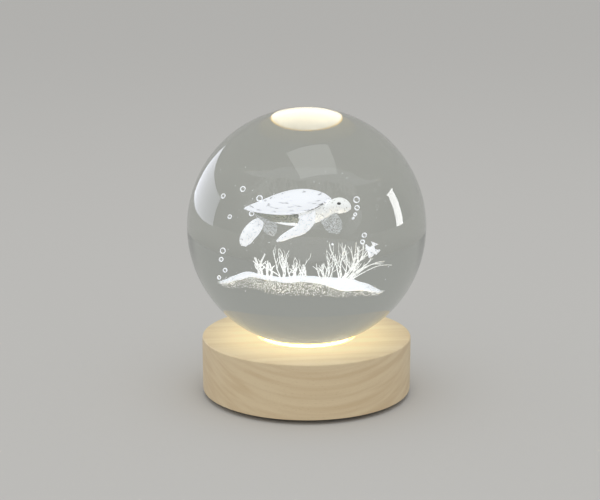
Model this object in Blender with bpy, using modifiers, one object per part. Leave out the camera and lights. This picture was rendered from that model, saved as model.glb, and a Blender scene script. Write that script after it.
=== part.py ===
"""Crystal ball lamp: a clear glass ball that rests on a turned beech base.

A picture is cut inside the ball as fine voids: a sea turtle over a sea bed with coral. The base is
hollow from below. A clear window lies in its top recess, under the ball, and a round
board with four LEDs shines up through it. A second board on the bottom cover carries the power
socket and the push switch, which face the rear. All sizes are in metres, +Z is up, +Y is the rear,
and the origin is on the table under the ball's centre.
"""

import math
import random

import bmesh
import bpy
from mathutils import Matrix, Vector

# General clearances
CLEARANCE = 0.0003
OVERRUN = 0.001
MERGE_DISTANCE = 0.000002

# Glass ball and the seat that it rests on
BALL_RADIUS = 0.040
SEAT_RADIUS = 0.0153
SEAT_WIDTH = 0.0008

# Sea turtle cut in the ball, from the ball's centre
TURTLE_LEFT = 0.0040
TURTLE_ABOVE = 0.0040
SHELL_LENGTH = 0.0198
SHELL_WIDTH = 0.0140
SHELL_CROWN = 0.0045
SHELL_DROOP = 0.0013
BELLY_DEPTH = 0.0036
HEAD_LENGTH = 0.0078
HEAD_WIDTH = 0.0034
HEAD_HEIGHT = 0.0036
FRONT_FLIPPER_LENGTH = 0.0110
FRONT_FLIPPER_WIDTH = 0.0028
REAR_FLIPPER_LENGTH = 0.0100
REAR_FLIPPER_WIDTH = 0.0029
FAR_FLIPPER_LENGTH = 0.0070
FLIPPER_THICK = 0.0008

# Sea bed, coral and fish cut in the ball
BED_LENGTH = 0.0360
BED_DEPTH = 0.0124
BED_THICK = 0.0036
BED_BELOW = 0.0116
BED_LEFT = 0.0014
DUNE_HEIGHT = 0.0010
CORAL_HEIGHT = 0.0056
FAN_HEIGHT = 0.0096
GRASS_LENGTH = 0.0110
TWIG_RADIUS = 0.00025
CLUMP_RADIUS = 0.0005
FISH_LENGTH = 0.0034
FISH_HEIGHT = 0.0018
VENT_RADIUS = 0.00015

# Turned beech base
BASE_RADIUS = 0.0355
BASE_HEIGHT = 0.0185
TOP_ROUND = 0.0006
BOTTOM_ROUND = 0.0004
RIM_WALL = 0.0030
COVER_SHELF = 0.0058

# Clear window in the top recess
WINDOW_UNDER_BALL = 0.0005
WINDOW_THICK = 0.002
WINDOW_SHELF = 0.002
WINDOW_CHAMFER = 0.0002

# LED board and its screws
LED_BOARD_RADIUS = 0.0205
LED_BOARD_THICK = 0.0015
LED_BOARD_SCREW_INSET = 0.0027
LED_WALL_GAP = 0.0020
LED_COUNT = 4
LED_LENGTH = 0.0035
LED_WIDTH = 0.0028
LED_HEIGHT = 0.0019
LED_HEADROOM = 0.0001
LED_CORNER_CUT = 0.0006
LED_FACE_RADIUS = 0.0012
LED_FACE_DEPTH = 0.0003
BOARD_SCREW_COUNT = 3
BOARD_SCREW_HEAD_RADIUS = 0.0019
BOARD_SCREW_HEAD_HEIGHT = 0.0009
BOARD_SCREW_SHANK_RADIUS = 0.0010
BOARD_SCREW_LENGTH = 0.0050

# Bottom cover with its board posts, screws and feet
COVER_THICK = 0.0018
COVER_CHAMFER = 0.0003
COVER_SCREW_COUNT = 3
COVER_SCREW_HEAD_RADIUS = 0.0019
COVER_SCREW_HEAD_HEIGHT = 0.0012
COVER_SCREW_SHANK_RADIUS = 0.0010
COVER_SCREW_LENGTH = 0.0080
COVER_SCREW_SUNK = 0.0001
POST_HEIGHT = 0.0012
POST_RADIUS = 0.0024
FOOT_COUNT = 4
FOOT_RADIUS = 0.0040
FOOT_TAPER = 0.0003
FOOT_EDGE = 0.0003
FOOT_STAND_OFF = 0.0015
FOOT_RECESS = 0.0005
FOOT_INSET = 0.0035

# Power board and what stands on it
POWER_BOARD_MARGIN = 0.0010
POWER_BOARD_THICK = 0.0010
POWER_BOARD_CORNER = 0.0010
POST_SCREW_LENGTH = 0.0033
POST_SCREW_INSET = 0.0024
CHIP_WIDTH = 0.0050
CHIP_DEPTH = 0.0040
CHIP_HEIGHT = 0.0011
CHIP_CHAMFER = 0.0002
DEVICE_ROW_GAP = 0.0008
RESISTOR_LENGTH = 0.0032
RESISTOR_WIDTH = 0.0016
RESISTOR_HEIGHT = 0.0006
RESISTOR_PITCH = 0.0026
RESISTOR_COUNT = 2
LEAD_RADIUS = 0.0006
LEAD_PITCH = 0.0022
LEAD_BOW = 0.0012
LEAD_FROM_EDGE = 0.0052
LEAD_REACH_SHARE = 0.45

# Power socket at the rear
PORT_GAP = 0.0036
SOCKET_WIDTH = 0.0090
SOCKET_HEIGHT = 0.0032
SOCKET_DEPTH = 0.0073
SOCKET_WALL = 0.0003
TONGUE_WIDTH = 0.0067
TONGUE_THICK = 0.0007
TONGUE_DEPTH = 0.0048
MOUTH_MARGIN_X = 0.0019
MOUTH_MARGIN_Z = 0.0017
MOUTH_WALL = 0.0065

# Push switch at the rear
SWITCH_WIDTH = 0.0060
SWITCH_HEIGHT = 0.0036
SWITCH_DEPTH = 0.0050
SWITCH_EDGE = 0.0003
PLUNGER_RADIUS = 0.0012
PLUNGER_LENGTH = 0.0024
BUTTON_RADIUS = 0.0022
BUTTON_FLANGE_RADIUS = 0.0031
BUTTON_FLANGE_THICK = 0.0008
BUTTON_PROUD_PRESSED = 0.0002
BUTTON_EDGE = 0.0004
BUTTON_TRAVEL = 0.0012

# Facets round a full turn
BALL_SEGMENTS = 48
BALL_RINGS = 24
LARGE_SEGMENTS = 64
MEDIUM_SEGMENTS = 28
SMALL_SEGMENTS = 16
CORNER_STEPS = 4
CUT_SIDES = 8
BODY_RINGS = 12
TWIG_SIDES = 3
TWIG_STEPS = 3
FORK_STEPS = 2

# Heights, from the table up
WOOD_BOTTOM_Z = FOOT_STAND_OFF
WOOD_TOP_Z = WOOD_BOTTOM_Z + BASE_HEIGHT
COVER_TOP_Z = WOOD_BOTTOM_Z + COVER_THICK
COVER_SHELF_Z = COVER_TOP_Z + CLEARANCE
SEAT_ANGLE = math.asin(SEAT_RADIUS / (BALL_RADIUS + CLEARANCE))
SEAT_RISE = SEAT_WIDTH * math.tan(SEAT_ANGLE)
SEAT_LOW_Z = WOOD_TOP_Z - SEAT_RISE
BALL_CENTRE_Z = WOOD_TOP_Z - SEAT_RISE / 2 + (BALL_RADIUS + CLEARANCE) * math.cos(SEAT_ANGLE)
WINDOW_TOP_Z = BALL_CENTRE_Z - BALL_RADIUS - WINDOW_UNDER_BALL
WINDOW_BOTTOM_Z = WINDOW_TOP_Z - WINDOW_THICK
WINDOW_SHELF_Z = WINDOW_BOTTOM_Z - CLEARANCE
CEILING_Z = WINDOW_SHELF_Z - LED_HEADROOM - LED_HEIGHT
LED_BOARD_TOP_Z = CEILING_Z - CLEARANCE
LED_BOARD_BOTTOM_Z = LED_BOARD_TOP_Z - LED_BOARD_THICK
LED_BOTTOM_Z = LED_BOARD_TOP_Z + CLEARANCE
BOARD_SCREW_Z = LED_BOARD_BOTTOM_Z - CLEARANCE - BOARD_SCREW_HEAD_HEIGHT
POST_TOP_Z = COVER_TOP_Z + POST_HEIGHT
POWER_BOARD_BOTTOM_Z = POST_TOP_Z + CLEARANCE
POWER_BOARD_TOP_Z = POWER_BOARD_BOTTOM_Z + POWER_BOARD_THICK
PART_SEAT_Z = POWER_BOARD_TOP_Z + CLEARANCE
SOCKET_Z = PART_SEAT_Z + SOCKET_HEIGHT / 2
SWITCH_Z = PART_SEAT_Z + SWITCH_HEIGHT / 2

# Radii and distances to the rear
RECESS_RADIUS = SEAT_RADIUS - SEAT_WIDTH / 2
SEAT_TOP_RADIUS = SEAT_RADIUS + SEAT_WIDTH / 2
WINDOW_RADIUS = RECESS_RADIUS - CLEARANCE
WELL_RADIUS = RECESS_RADIUS - WINDOW_SHELF
REBATE_RADIUS = BASE_RADIUS - RIM_WALL
COVER_RADIUS = REBATE_RADIUS - CLEARANCE
POCKET_RADIUS = REBATE_RADIUS - COVER_SHELF
COVER_SCREW_CIRCLE = (REBATE_RADIUS + POCKET_RADIUS) / 2
LED_SCREW_CIRCLE = LED_BOARD_RADIUS - LED_BOARD_SCREW_INSET
LED_CIRCLE_RADIUS = WELL_RADIUS - LED_WALL_GAP - LED_WIDTH / 2
FOOT_CIRCLE = REBATE_RADIUS - FOOT_RADIUS - FOOT_INSET
CHANNEL_END_Y = BASE_RADIUS - MOUTH_WALL
SOCKET_REAR_Y = CHANNEL_END_Y - CLEARANCE
SOCKET_FRONT_Y = SOCKET_REAR_Y - SOCKET_DEPTH
DEVICE_ROW_Y = SOCKET_FRONT_Y - DEVICE_ROW_GAP - CHIP_DEPTH / 2
BOARD_REAR_Y = SOCKET_REAR_Y
BOARD_FRONT_Y = DEVICE_ROW_Y - CHIP_DEPTH / 2 - 2 * POST_SCREW_INSET
BOARD_MIDDLE_Y = (BOARD_REAR_Y + BOARD_FRONT_Y) / 2
POWER_BOARD_DEPTH = BOARD_REAR_Y - BOARD_FRONT_Y
POWER_BOARD_WIDTH = 2 * POWER_BOARD_MARGIN + SOCKET_WIDTH + PORT_GAP + SWITCH_WIDTH
SOCKET_X = POWER_BOARD_MARGIN + SOCKET_WIDTH / 2 - POWER_BOARD_WIDTH / 2
SWITCH_X = POWER_BOARD_WIDTH / 2 - POWER_BOARD_MARGIN - SWITCH_WIDTH / 2
MOUTH_WIDTH = SOCKET_WIDTH + 2 * MOUTH_MARGIN_X
MOUTH_HEIGHT = SOCKET_HEIGHT + 2 * MOUTH_MARGIN_Z
CHANNEL_HALF_WIDTH = POWER_BOARD_WIDTH / 2 + CLEARANCE
CHANNEL_TOP_Z = SWITCH_Z + BUTTON_FLANGE_RADIUS + CLEARANCE
FLANGE_REAR_Y = CHANNEL_END_Y - CLEARANCE
FLANGE_FRONT_Y = FLANGE_REAR_Y - BUTTON_FLANGE_THICK
PLUNGER_REAR_Y = FLANGE_FRONT_Y - CLEARANCE
SWITCH_REAR_Y = PLUNGER_REAR_Y - BUTTON_TRAVEL
SWITCH_SURFACE_Y = math.sqrt(BASE_RADIUS**2 - SWITCH_X**2)
BUTTON_REAR_Y = SWITCH_SURFACE_Y + BUTTON_TRAVEL + BUTTON_PROUD_PRESSED
POST_Y = BOARD_FRONT_Y + POST_SCREW_INSET
POST_X = POWER_BOARD_WIDTH / 2 - POST_SCREW_INSET


def clear_scene():
    """Removes what the file opened with."""
    for obj in list(bpy.data.objects):
        bpy.data.objects.remove(obj, do_unlink=True)


def new_collection(name):
    collection = bpy.data.collections.new(name)
    bpy.context.scene.collection.children.link(collection)
    return collection


clear_scene()
PARTS = new_collection("crystal_ball_lamp")
CUTTERS = new_collection("cutters")
CUTTERS.hide_render = True


GLASS_VIEW_SHARE = 0.35
SMOOTH_UP_TO_DEGREES = 30


def make_material(name, colour, roughness, metallic=0.0, transmission=0.0, emission=0.0):
    material = bpy.data.materials.new(name)
    material.use_nodes = True
    shader = material.node_tree.nodes["Principled BSDF"]
    shader.inputs["Base Color"].default_value = (*colour, 1.0)
    shader.inputs["Roughness"].default_value = roughness
    shader.inputs["Metallic"].default_value = metallic
    shader.inputs["Transmission Weight"].default_value = transmission
    shader.inputs["Emission Color"].default_value = (*colour, 1.0)
    shader.inputs["Emission Strength"].default_value = emission
    material.diffuse_color = (*colour, GLASS_VIEW_SHARE if transmission else 1.0)
    return material


CRYSTAL = make_material("crystal_glass", (0.93, 0.95, 0.94), 0.0, transmission=1.0)
BEECH = make_material("turned_beech", (0.62, 0.42, 0.26), 0.55)
ACRYLIC = make_material("clear_acrylic", (0.95, 0.95, 0.93), 0.05, transmission=1.0)
WHITE_BOARD = make_material("white_solder_mask", (0.85, 0.85, 0.82), 0.35)
GREEN_BOARD = make_material("green_solder_mask", (0.02, 0.16, 0.07), 0.35)
LED_PHOSPHOR = make_material("led_phosphor", (1.0, 0.82, 0.48), 0.4, emission=4.0)
BLACK_ABS = make_material("black_abs", (0.012, 0.012, 0.013), 0.5)
BLACK_EPOXY = make_material("black_epoxy", (0.015, 0.015, 0.016), 0.4)
CERAMIC = make_material("resistor_ceramic", (0.05, 0.05, 0.055), 0.35)
STEEL = make_material("plated_steel", (0.62, 0.62, 0.61), 0.3, metallic=1.0)
RUBBER = make_material("black_rubber", (0.02, 0.02, 0.02), 0.8)
RED_PVC = make_material("red_pvc", (0.55, 0.03, 0.03), 0.4)
BLACK_PVC = make_material("black_pvc", (0.015, 0.015, 0.015), 0.4)


def smooth_shade(mesh):
    mesh.shade_smooth()
    mesh.set_sharp_from_angle(angle=math.radians(SMOOTH_UP_TO_DEGREES))


def add_object(name, data, material=None, location=(0, 0, 0), rotation=(0, 0, 0), parent=None):
    """Puts data in the scene as a part, or as a cutter when it has no material."""
    obj = bpy.data.objects.new(name, data)
    obj.location = location
    obj.rotation_euler = rotation
    obj.parent = parent
    if material is None:
        CUTTERS.objects.link(obj)
        obj.hide_render = True
        obj.display_type = "WIRE"
    else:
        PARTS.objects.link(obj)
        if not data.materials:
            data.materials.append(material)
    return obj


def add_empty(name, location):
    """An empty that marks an axis and carries the pieces that ride on it."""
    empty = bpy.data.objects.new(name, None)
    empty.empty_display_size = FOOT_RADIUS
    empty.location = location
    PARTS.objects.link(empty)
    return empty


def arc(centre, radius, start_degrees, end_degrees, steps=CORNER_STEPS):
    """Points (r, z) along an arc, both ends included."""
    points = []
    for step in range(steps + 1):
        angle = math.radians(start_degrees + (end_degrees - start_degrees) * step / steps)
        points.append((centre[0] + radius * math.cos(angle), centre[1] + radius * math.sin(angle)))
    return points


def turned(name, outline, segments, material=None, closed=False, **place):
    """A profile (r, z), running down the outer side, turned about Z by a Screw modifier."""
    mesh = bpy.data.meshes.new(name)
    bm = bmesh.new()
    points = [bm.verts.new((radius, 0, height)) for radius, height in outline]
    for first, second in zip(points, points[1:]):
        bm.edges.new((first, second))
    if closed:
        bm.edges.new((points[-1], points[0]))
    bm.to_mesh(mesh)
    bm.free()
    obj = add_object(name, mesh, material, **place)
    screw = obj.modifiers.new("Turning", "SCREW")
    screw.steps = segments
    screw.render_steps = segments
    screw.use_merge_vertices = True
    screw.merge_threshold = MERGE_DISTANCE
    screw.use_smooth_shade = False
    return obj


def rod(name, radius, length, segments, material=None, **place):
    """A plain cylinder that stands on its location along its own +Z."""
    mesh = bpy.data.meshes.new(name)
    bm = bmesh.new()
    bmesh.ops.create_cone(
        bm, cap_ends=True, segments=segments, radius1=radius, radius2=radius, depth=length,
        matrix=Matrix.Translation((0, 0, length / 2)),
    )
    bm.to_mesh(mesh)
    bm.free()
    return add_object(name, mesh, material, **place)


def block(name, size, material=None, edge=0.0, **place):
    """A box centred on its location in plan, standing on it, with optional chamfered edges."""
    mesh = bpy.data.meshes.new(name)
    bm = bmesh.new()
    bmesh.ops.create_cube(bm, size=1)
    bmesh.ops.scale(bm, vec=size, verts=bm.verts)
    bmesh.ops.translate(bm, vec=(0, 0, size[2] / 2), verts=bm.verts)
    bm.to_mesh(mesh)
    bm.free()
    obj = add_object(name, mesh, material, **place)
    if edge:
        bevel = obj.modifiers.new("Edges", "BEVEL")
        bevel.width = edge
        bevel.segments = 1
        bevel.limit_method = "ANGLE"
    return obj


def rounded_outline(width, height, corner, steps=CORNER_STEPS):
    """Points of a rectangle with round corners, anticlockwise about the origin."""
    inner_x = width / 2 - corner
    inner_y = height / 2 - corner
    points = arc((inner_x, inner_y), corner, 0, 90, steps)
    points += arc((-inner_x, inner_y), corner, 90, 180, steps)
    points += arc((-inner_x, -inner_y), corner, 180, 270, steps)
    points += arc((inner_x, -inner_y), corner, 270, 360, steps)
    return points


def extruded(name, outline, length, material=None, **place):
    """A flat outline made solid along its own +Z, as a mesh that Booleans can use."""
    curve = bpy.data.curves.new(name, "CURVE")
    curve.dimensions = "2D"
    curve.fill_mode = "BOTH"
    curve.extrude = length / 2
    spline = curve.splines.new("POLY")
    spline.points.add(len(outline) - 1)
    for point, (x, y) in zip(spline.points, outline):
        point.co = (x, y, 0, 1)
    spline.use_cyclic_u = True
    source = bpy.data.objects.new(name + "_outline", curve)
    bpy.context.scene.collection.objects.link(source)
    graph = bpy.context.evaluated_depsgraph_get()
    mesh = bpy.data.meshes.new_from_object(source.evaluated_get(graph))
    bpy.data.objects.remove(source, do_unlink=True)
    bm = bmesh.new()
    bm.from_mesh(mesh)
    bmesh.ops.remove_doubles(bm, verts=bm.verts, dist=MERGE_DISTANCE)
    bmesh.ops.translate(bm, vec=(0, 0, length / 2), verts=bm.verts)
    bmesh.ops.recalc_face_normals(bm, faces=bm.faces)
    bm.to_mesh(mesh)
    bm.free()
    mesh.name = name
    mesh.materials.clear()
    return add_object(name, mesh, material, **place)


def combine(target, other, operation):
    """Cuts or joins another object into the target; the other one stays as a cutter."""
    modifier = target.modifiers.new(other.name, "BOOLEAN")
    modifier.operation = operation
    modifier.solver = "EXACT"
    modifier.object = other


def finish(obj):
    """Bakes the modifiers into the mesh and shades its round faces smooth."""
    graph = bpy.context.evaluated_depsgraph_get()
    mesh = bpy.data.meshes.new_from_object(obj.evaluated_get(graph))
    obj.modifiers.clear()
    mesh.name = obj.name
    obj.data = mesh
    smooth_shade(mesh)
    return obj


def on_circle(radius, angle_degrees, height):
    angle = math.radians(angle_degrees)
    return Vector((radius * math.cos(angle), radius * math.sin(angle), height))


FACING_REAR = (-math.pi / 2, 0, 0)
POINTING_DOWN = (math.pi, 0, 0)
COVER_SCREW_ANGLES = [-90 + 360 * i / COVER_SCREW_COUNT for i in range(COVER_SCREW_COUNT)]
BOARD_SCREW_ANGLES = [-90 + 360 * i / BOARD_SCREW_COUNT for i in range(BOARD_SCREW_COUNT)]
LED_ANGLES = [-90 + 360 * i / LED_COUNT for i in range(LED_COUNT)]
FOOT_ANGLES = [45 + 360 * i / FOOT_COUNT for i in range(FOOT_COUNT)]
SCREW_TIP_SHARE = 0.35
SCREW_LIP_SHARE = 0.25
TONGUE_CHAMFER_SHARE = 0.25


def screw_outline(head_radius, head_height, shank_radius, length, sunk):
    """A screw's profile with its head down: a countersunk cone, or a low pan head."""
    if sunk:
        head = [(head_radius, head_height * SCREW_LIP_SHARE), (head_radius, 0)]
    else:
        head = [(head_radius, head_height)] + arc(
            (head_radius - head_height / 2, head_height / 2), head_height / 2, 0, -90, 2
        )
    tip_radius = shank_radius * SCREW_TIP_SHARE
    point = [(0, length), (tip_radius, length), (shank_radius, length - 2 * shank_radius)]
    return point + [(shank_radius, head_height)] + head + [(0, 0)]


# How the picture lies in the ball, and its forms as shares of the named sizes
TURTLE_YAW_DEGREES = -20
TURTLE_PITCH_DEGREES = -3
TURTLE_ROLL_DEGREES = -15
FISH_DIVE_DEGREES = 112
TURTLE_PLACE = (
    Matrix.Translation((-TURTLE_LEFT, 0, TURTLE_ABOVE))
    @ Matrix.Rotation(math.radians(TURTLE_YAW_DEGREES), 4, "Z")
    @ Matrix.Rotation(math.radians(TURTLE_PITCH_DEGREES), 4, "Y")
    @ Matrix.Rotation(math.radians(TURTLE_ROLL_DEGREES), 4, "X")
)
# Each row: along the half length, half width, crown, droop of the rim, belly
SHELL_SHARES = (
    (-1.00, 0.06, 0.02, 0.00, 0.03),
    (-0.85, 0.38, 0.17, -0.27, 0.28),
    (-0.60, 0.68, 0.42, -0.62, 0.58),
    (-0.30, 0.91, 0.70, -0.88, 0.86),
    (0.00, 1.00, 0.91, -1.00, 1.00),
    (0.30, 0.99, 1.00, -0.85, 1.00),
    (0.55, 0.90, 0.96, -0.30, 0.88),
    (0.80, 0.66, 0.80, 0.70, 0.60),
    (0.95, 0.34, 0.62, 1.50, 0.15),
    (1.00, 0.06, 0.55, 1.85, -0.40),
)
# Each row: along the head and neck, up its height, half width, half height
HEAD_SHARES = (
    (0.00, -0.10, 0.62, 0.52),
    (0.22, 0.02, 0.50, 0.46),
    (0.40, 0.20, 0.42, 0.38),
    (0.54, 0.30, 0.48, 0.46),
    (0.67, 0.32, 0.50, 0.49),
    (0.81, 0.30, 0.42, 0.42),
    (0.93, 0.26, 0.26, 0.26),
    (1.00, 0.22, 0.10, 0.10),
)
HEAD_ROOT_SHARE = 0.73
# Each row: place from the root along X, Y and Z, half width, half thickness
FRONT_FLIPPER_SHARES = (
    (0.00, 0.12, 0.10, 0.40, 1.00),
    (0.04, 0.00, -0.06, 0.50, 0.80),
    (0.02, -0.08, -0.22, 0.50, 0.60),
    (-0.12, -0.14, -0.36, 0.46, 0.50),
    (-0.32, -0.19, -0.45, 0.37, 0.40),
    (-0.50, -0.22, -0.53, 0.22, 0.30),
    (-0.62, -0.24, -0.58, 0.06, 0.14),
)
REAR_FLIPPER_SHARES = (
    (0.16, 0.12, 0.12, 0.34, 0.80),
    (0.00, 0.00, 0.00, 0.40, 0.60),
    (-0.18, -0.08, -0.16, 0.48, 0.45),
    (-0.34, -0.13, -0.34, 0.50, 0.40),
    (-0.44, -0.15, -0.50, 0.38, 0.30),
    (-0.48, -0.15, -0.62, 0.10, 0.16),
)
FAR_FLIPPER_SHARES = (
    (-0.12, -0.14, 0.20, 0.40, 0.70),
    (0.04, 0.02, 0.02, 0.50, 0.50),
    (0.20, 0.16, -0.24, 0.56, 0.40),
    (0.32, 0.28, -0.48, 0.44, 0.30),
    (0.36, 0.34, -0.64, 0.12, 0.16),
)
# Each row: root on the shell along its half length, half width and crown
FRONT_FLIPPER_ROOT_SHARES = (0.42, -0.72, 0.10)
REAR_FLIPPER_ROOT_SHARES = (-0.58, -0.42, -0.20)
FAR_FRONT_ROOT_SHARES = (0.62, 0.50, -0.30)
FAR_REAR_ROOT_SHARES = (-0.52, 0.40, -0.40)
FISH_SHARES = (
    (0.50, 0.00, 0.05, 0.05),
    (0.26, 0.00, 0.34, 0.16),
    (-0.04, 0.00, 0.42, 0.18),
    (-0.26, 0.00, 0.12, 0.08),
    (-0.50, 0.00, 0.50, 0.05),
)
# Each row: a clump's place along half the bed, across half its depth, height, spread and stems
CORAL_SHARES = (
    (-0.52, -0.10, 0.80, 0.65, 4),
    (-0.30, 0.15, 1.00, 0.35, 3),
    (-0.06, -0.20, 0.80, 0.70, 4),
    (0.24, 0.10, 0.95, 0.50, 4),
)
FISH_PLACE_SHARES = (0.89, -0.10, 0.68)
TALL_TWIG_ROOT_SHARES = (-0.22, -0.70)
FAN_ROOT_SHARE = 0.53
FAN_STEMS = 7
GRASS_BLADES = 3
CORAL_SEED = 4
TWIG_TAPER_SHARE = 0.6
FORK_SHARE = 0.45
FORK_ROOT_SHARE = 0.9
FORK_RADIUS_SHARE = 0.6
ROOT_SHARE = 0.2


def along(table, share):
    """The row of a table at a share between its first column's values, in straight steps."""
    for low, high in zip(table, table[1:]):
        if share <= high[0]:
            break
    part = min(max((share - low[0]) / (high[0] - low[0]), 0), 1)
    return [a + (b - a) * part for a, b in zip(low, high)]


def loft(bm, rings, facing, sides):
    """One closed form through rings (middle, half width, half thickness) that lie square to its path."""
    flat_side_up = Matrix.Rotation(math.pi / sides, 4, "Z")
    middles = [Vector(ring[0]) for ring in rings]
    places = []
    for number, (middle, half_width, half_thickness) in enumerate(rings):
        way = middles[min(number + 1, len(rings) - 1)] - middles[max(number - 1, 0)]
        way.normalize()
        across = way.cross(facing).normalized()
        turn = Matrix((across * half_width, across.cross(way) * half_thickness, way)).transposed()
        places.append(Matrix.Translation(middle) @ turn.to_4x4() @ flat_side_up)
    made = bmesh.ops.create_circle(bm, cap_ends=True, segments=sides, radius=1, matrix=places[0])
    edges = list({edge for vert in made["verts"] for edge in vert.link_edges})
    for before, after in zip(places, places[1:]):
        pushed = bmesh.ops.extrude_edge_only(bm, edges=edges)["geom"]
        verts = {item for item in pushed if isinstance(item, bmesh.types.BMVert)}
        edges = [e for e in pushed if isinstance(e, bmesh.types.BMEdge) and set(e.verts) <= verts]
        bmesh.ops.transform(bm, matrix=after @ before.inverted(), verts=list(verts))
    bmesh.ops.contextual_create(bm, geom=edges)


def cut_turtle_body(bm):
    """The domed shell with its drooping rim, closed below by the belly."""
    body = bmesh.ops.create_uvsphere(
        bm, u_segments=SMALL_SEGMENTS, v_segments=BODY_RINGS, radius=1,
        matrix=Matrix.Rotation(math.pi / 2, 4, "Y"),
    )["verts"]
    for vert in body:
        x, y, z = vert.co
        width, crown, droop, belly = along(SHELL_SHARES, x)[1:]
        round_it = math.hypot(y, z) or 1
        rim = droop * SHELL_DROOP
        reach = crown * SHELL_CROWN - rim if z > 0 else rim + belly * BELLY_DEPTH
        vert.co = (
            x * SHELL_LENGTH / 2,
            width * SHELL_WIDTH / 2 * y / round_it,
            rim + reach * z / round_it,
        )
    root = HEAD_ROOT_SHARE * SHELL_LENGTH / 2
    rings = [
        ((root + reach * HEAD_LENGTH, 0, up * HEAD_HEIGHT), width * HEAD_WIDTH, height * HEAD_HEIGHT)
        for reach, up, width, height in HEAD_SHARES
    ]
    loft(bm, rings, Vector((0, 0, 1)), CUT_SIDES)
    bmesh.ops.transform(bm, matrix=TURTLE_PLACE, verts=bm.verts)


def cut_flipper(bm, root_shares, length, width, flipper_shares):
    """A flat limb that leaves the body at its root and tapers to its tip."""
    half = (SHELL_LENGTH / 2, SHELL_WIDTH / 2, SHELL_CROWN)
    root = TURTLE_PLACE @ Vector(share * size for share, size in zip(root_shares, half))
    rings = [
        (root + Vector(row[:3]) * length, row[3] * width, row[4] * FLIPPER_THICK)
        for row in flipper_shares
    ]
    loft(bm, rings, Vector((0.1, -1, 0.2)).normalized(), CUT_SIDES)
    return rings[-1][0]


def bed_point(along_share, across_share, below_share=0):
    """A point of the sea bed, by its shares of half the length, half the depth and the thickness."""
    rounding = math.sqrt(max(0, 1 - abs(along_share) ** 2.4))
    dunes = DUNE_HEIGHT * (math.sin(4.2 * along_share - 0.9) - 2 * abs(along_share) ** 3)
    return Vector((
        along_share * BED_LENGTH / 2 - BED_LEFT,
        across_share * rounding * BED_DEPTH / 2,
        dunes - BED_BELOW - below_share * BED_THICK * rounding,
    ))


def cut_sea_bed(bm):
    """The sand, flat above with low dunes and rounded below, thinning out at both ends."""
    bed = bmesh.ops.create_uvsphere(
        bm, u_segments=CUT_SIDES, v_segments=BODY_RINGS, radius=1,
        matrix=Matrix.Rotation(math.pi / 2, 4, "Y"),
    )["verts"]
    for vert in bed:
        x, y, z = vert.co
        round_it = math.hypot(y, z) or 1
        vert.co = bed_point(x, y / round_it, max(0, -z / round_it))


def cut_twig(bm, start, way, length, radius, draw, bend, steps):
    """One wandering twig that tapers to its tip, and the places along it where others can fork off."""
    place, heading, path = Vector(start), Vector(way).normalized(), []
    for _ in range(steps + 1):
        path.append((place.copy(), heading.copy()))
        wander = Vector((draw.uniform(-1, 1), draw.uniform(-1, 1), draw.uniform(-1, 1)))
        heading = (heading + wander * bend).normalized()
        place = place + heading * length / steps
    thin = [radius * (1 - TWIG_TAPER_SHARE * number / steps) for number in range(steps + 1)]
    rings = [(point, size, size) for (point, _), size in zip(path, thin)]
    facing = Vector(way).orthogonal().normalized()
    loft(bm, rings, facing, TWIG_SIDES)
    return path


def cut_clump(bm, place, height, spread, stems, forks, lean, draw):
    """Stems that fan out of one foot in the sand, each with shorter forks."""
    for number in range(stems):
        turn = 2 * number / max(stems - 1, 1) - 1
        way = Vector((turn * spread + lean, draw.uniform(-0.4, 0.4), 1))
        foot = place + Vector((turn, draw.uniform(-1, 1), 0)) * CLUMP_RADIUS * math.sqrt(stems)
        length = height * draw.uniform(0.8, 1.0)
        path = cut_twig(bm, foot, way, length, TWIG_RADIUS, draw, 0.14, TWIG_STEPS)
        for fork in range(forks):
            low, high = path[fork % TWIG_STEPS], path[fork % TWIG_STEPS + 1]
            root, heading = low[0].lerp(high[0], FORK_ROOT_SHARE), high[1]
            side = Vector((draw.choice((-0.7, 0.7)), draw.uniform(-0.5, 0.5), 0.3))
            cut_twig(
                bm, root, heading + side, length * FORK_SHARE, TWIG_RADIUS * FORK_RADIUS_SHARE,
                draw, 0.14, FORK_STEPS,
            )


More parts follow.
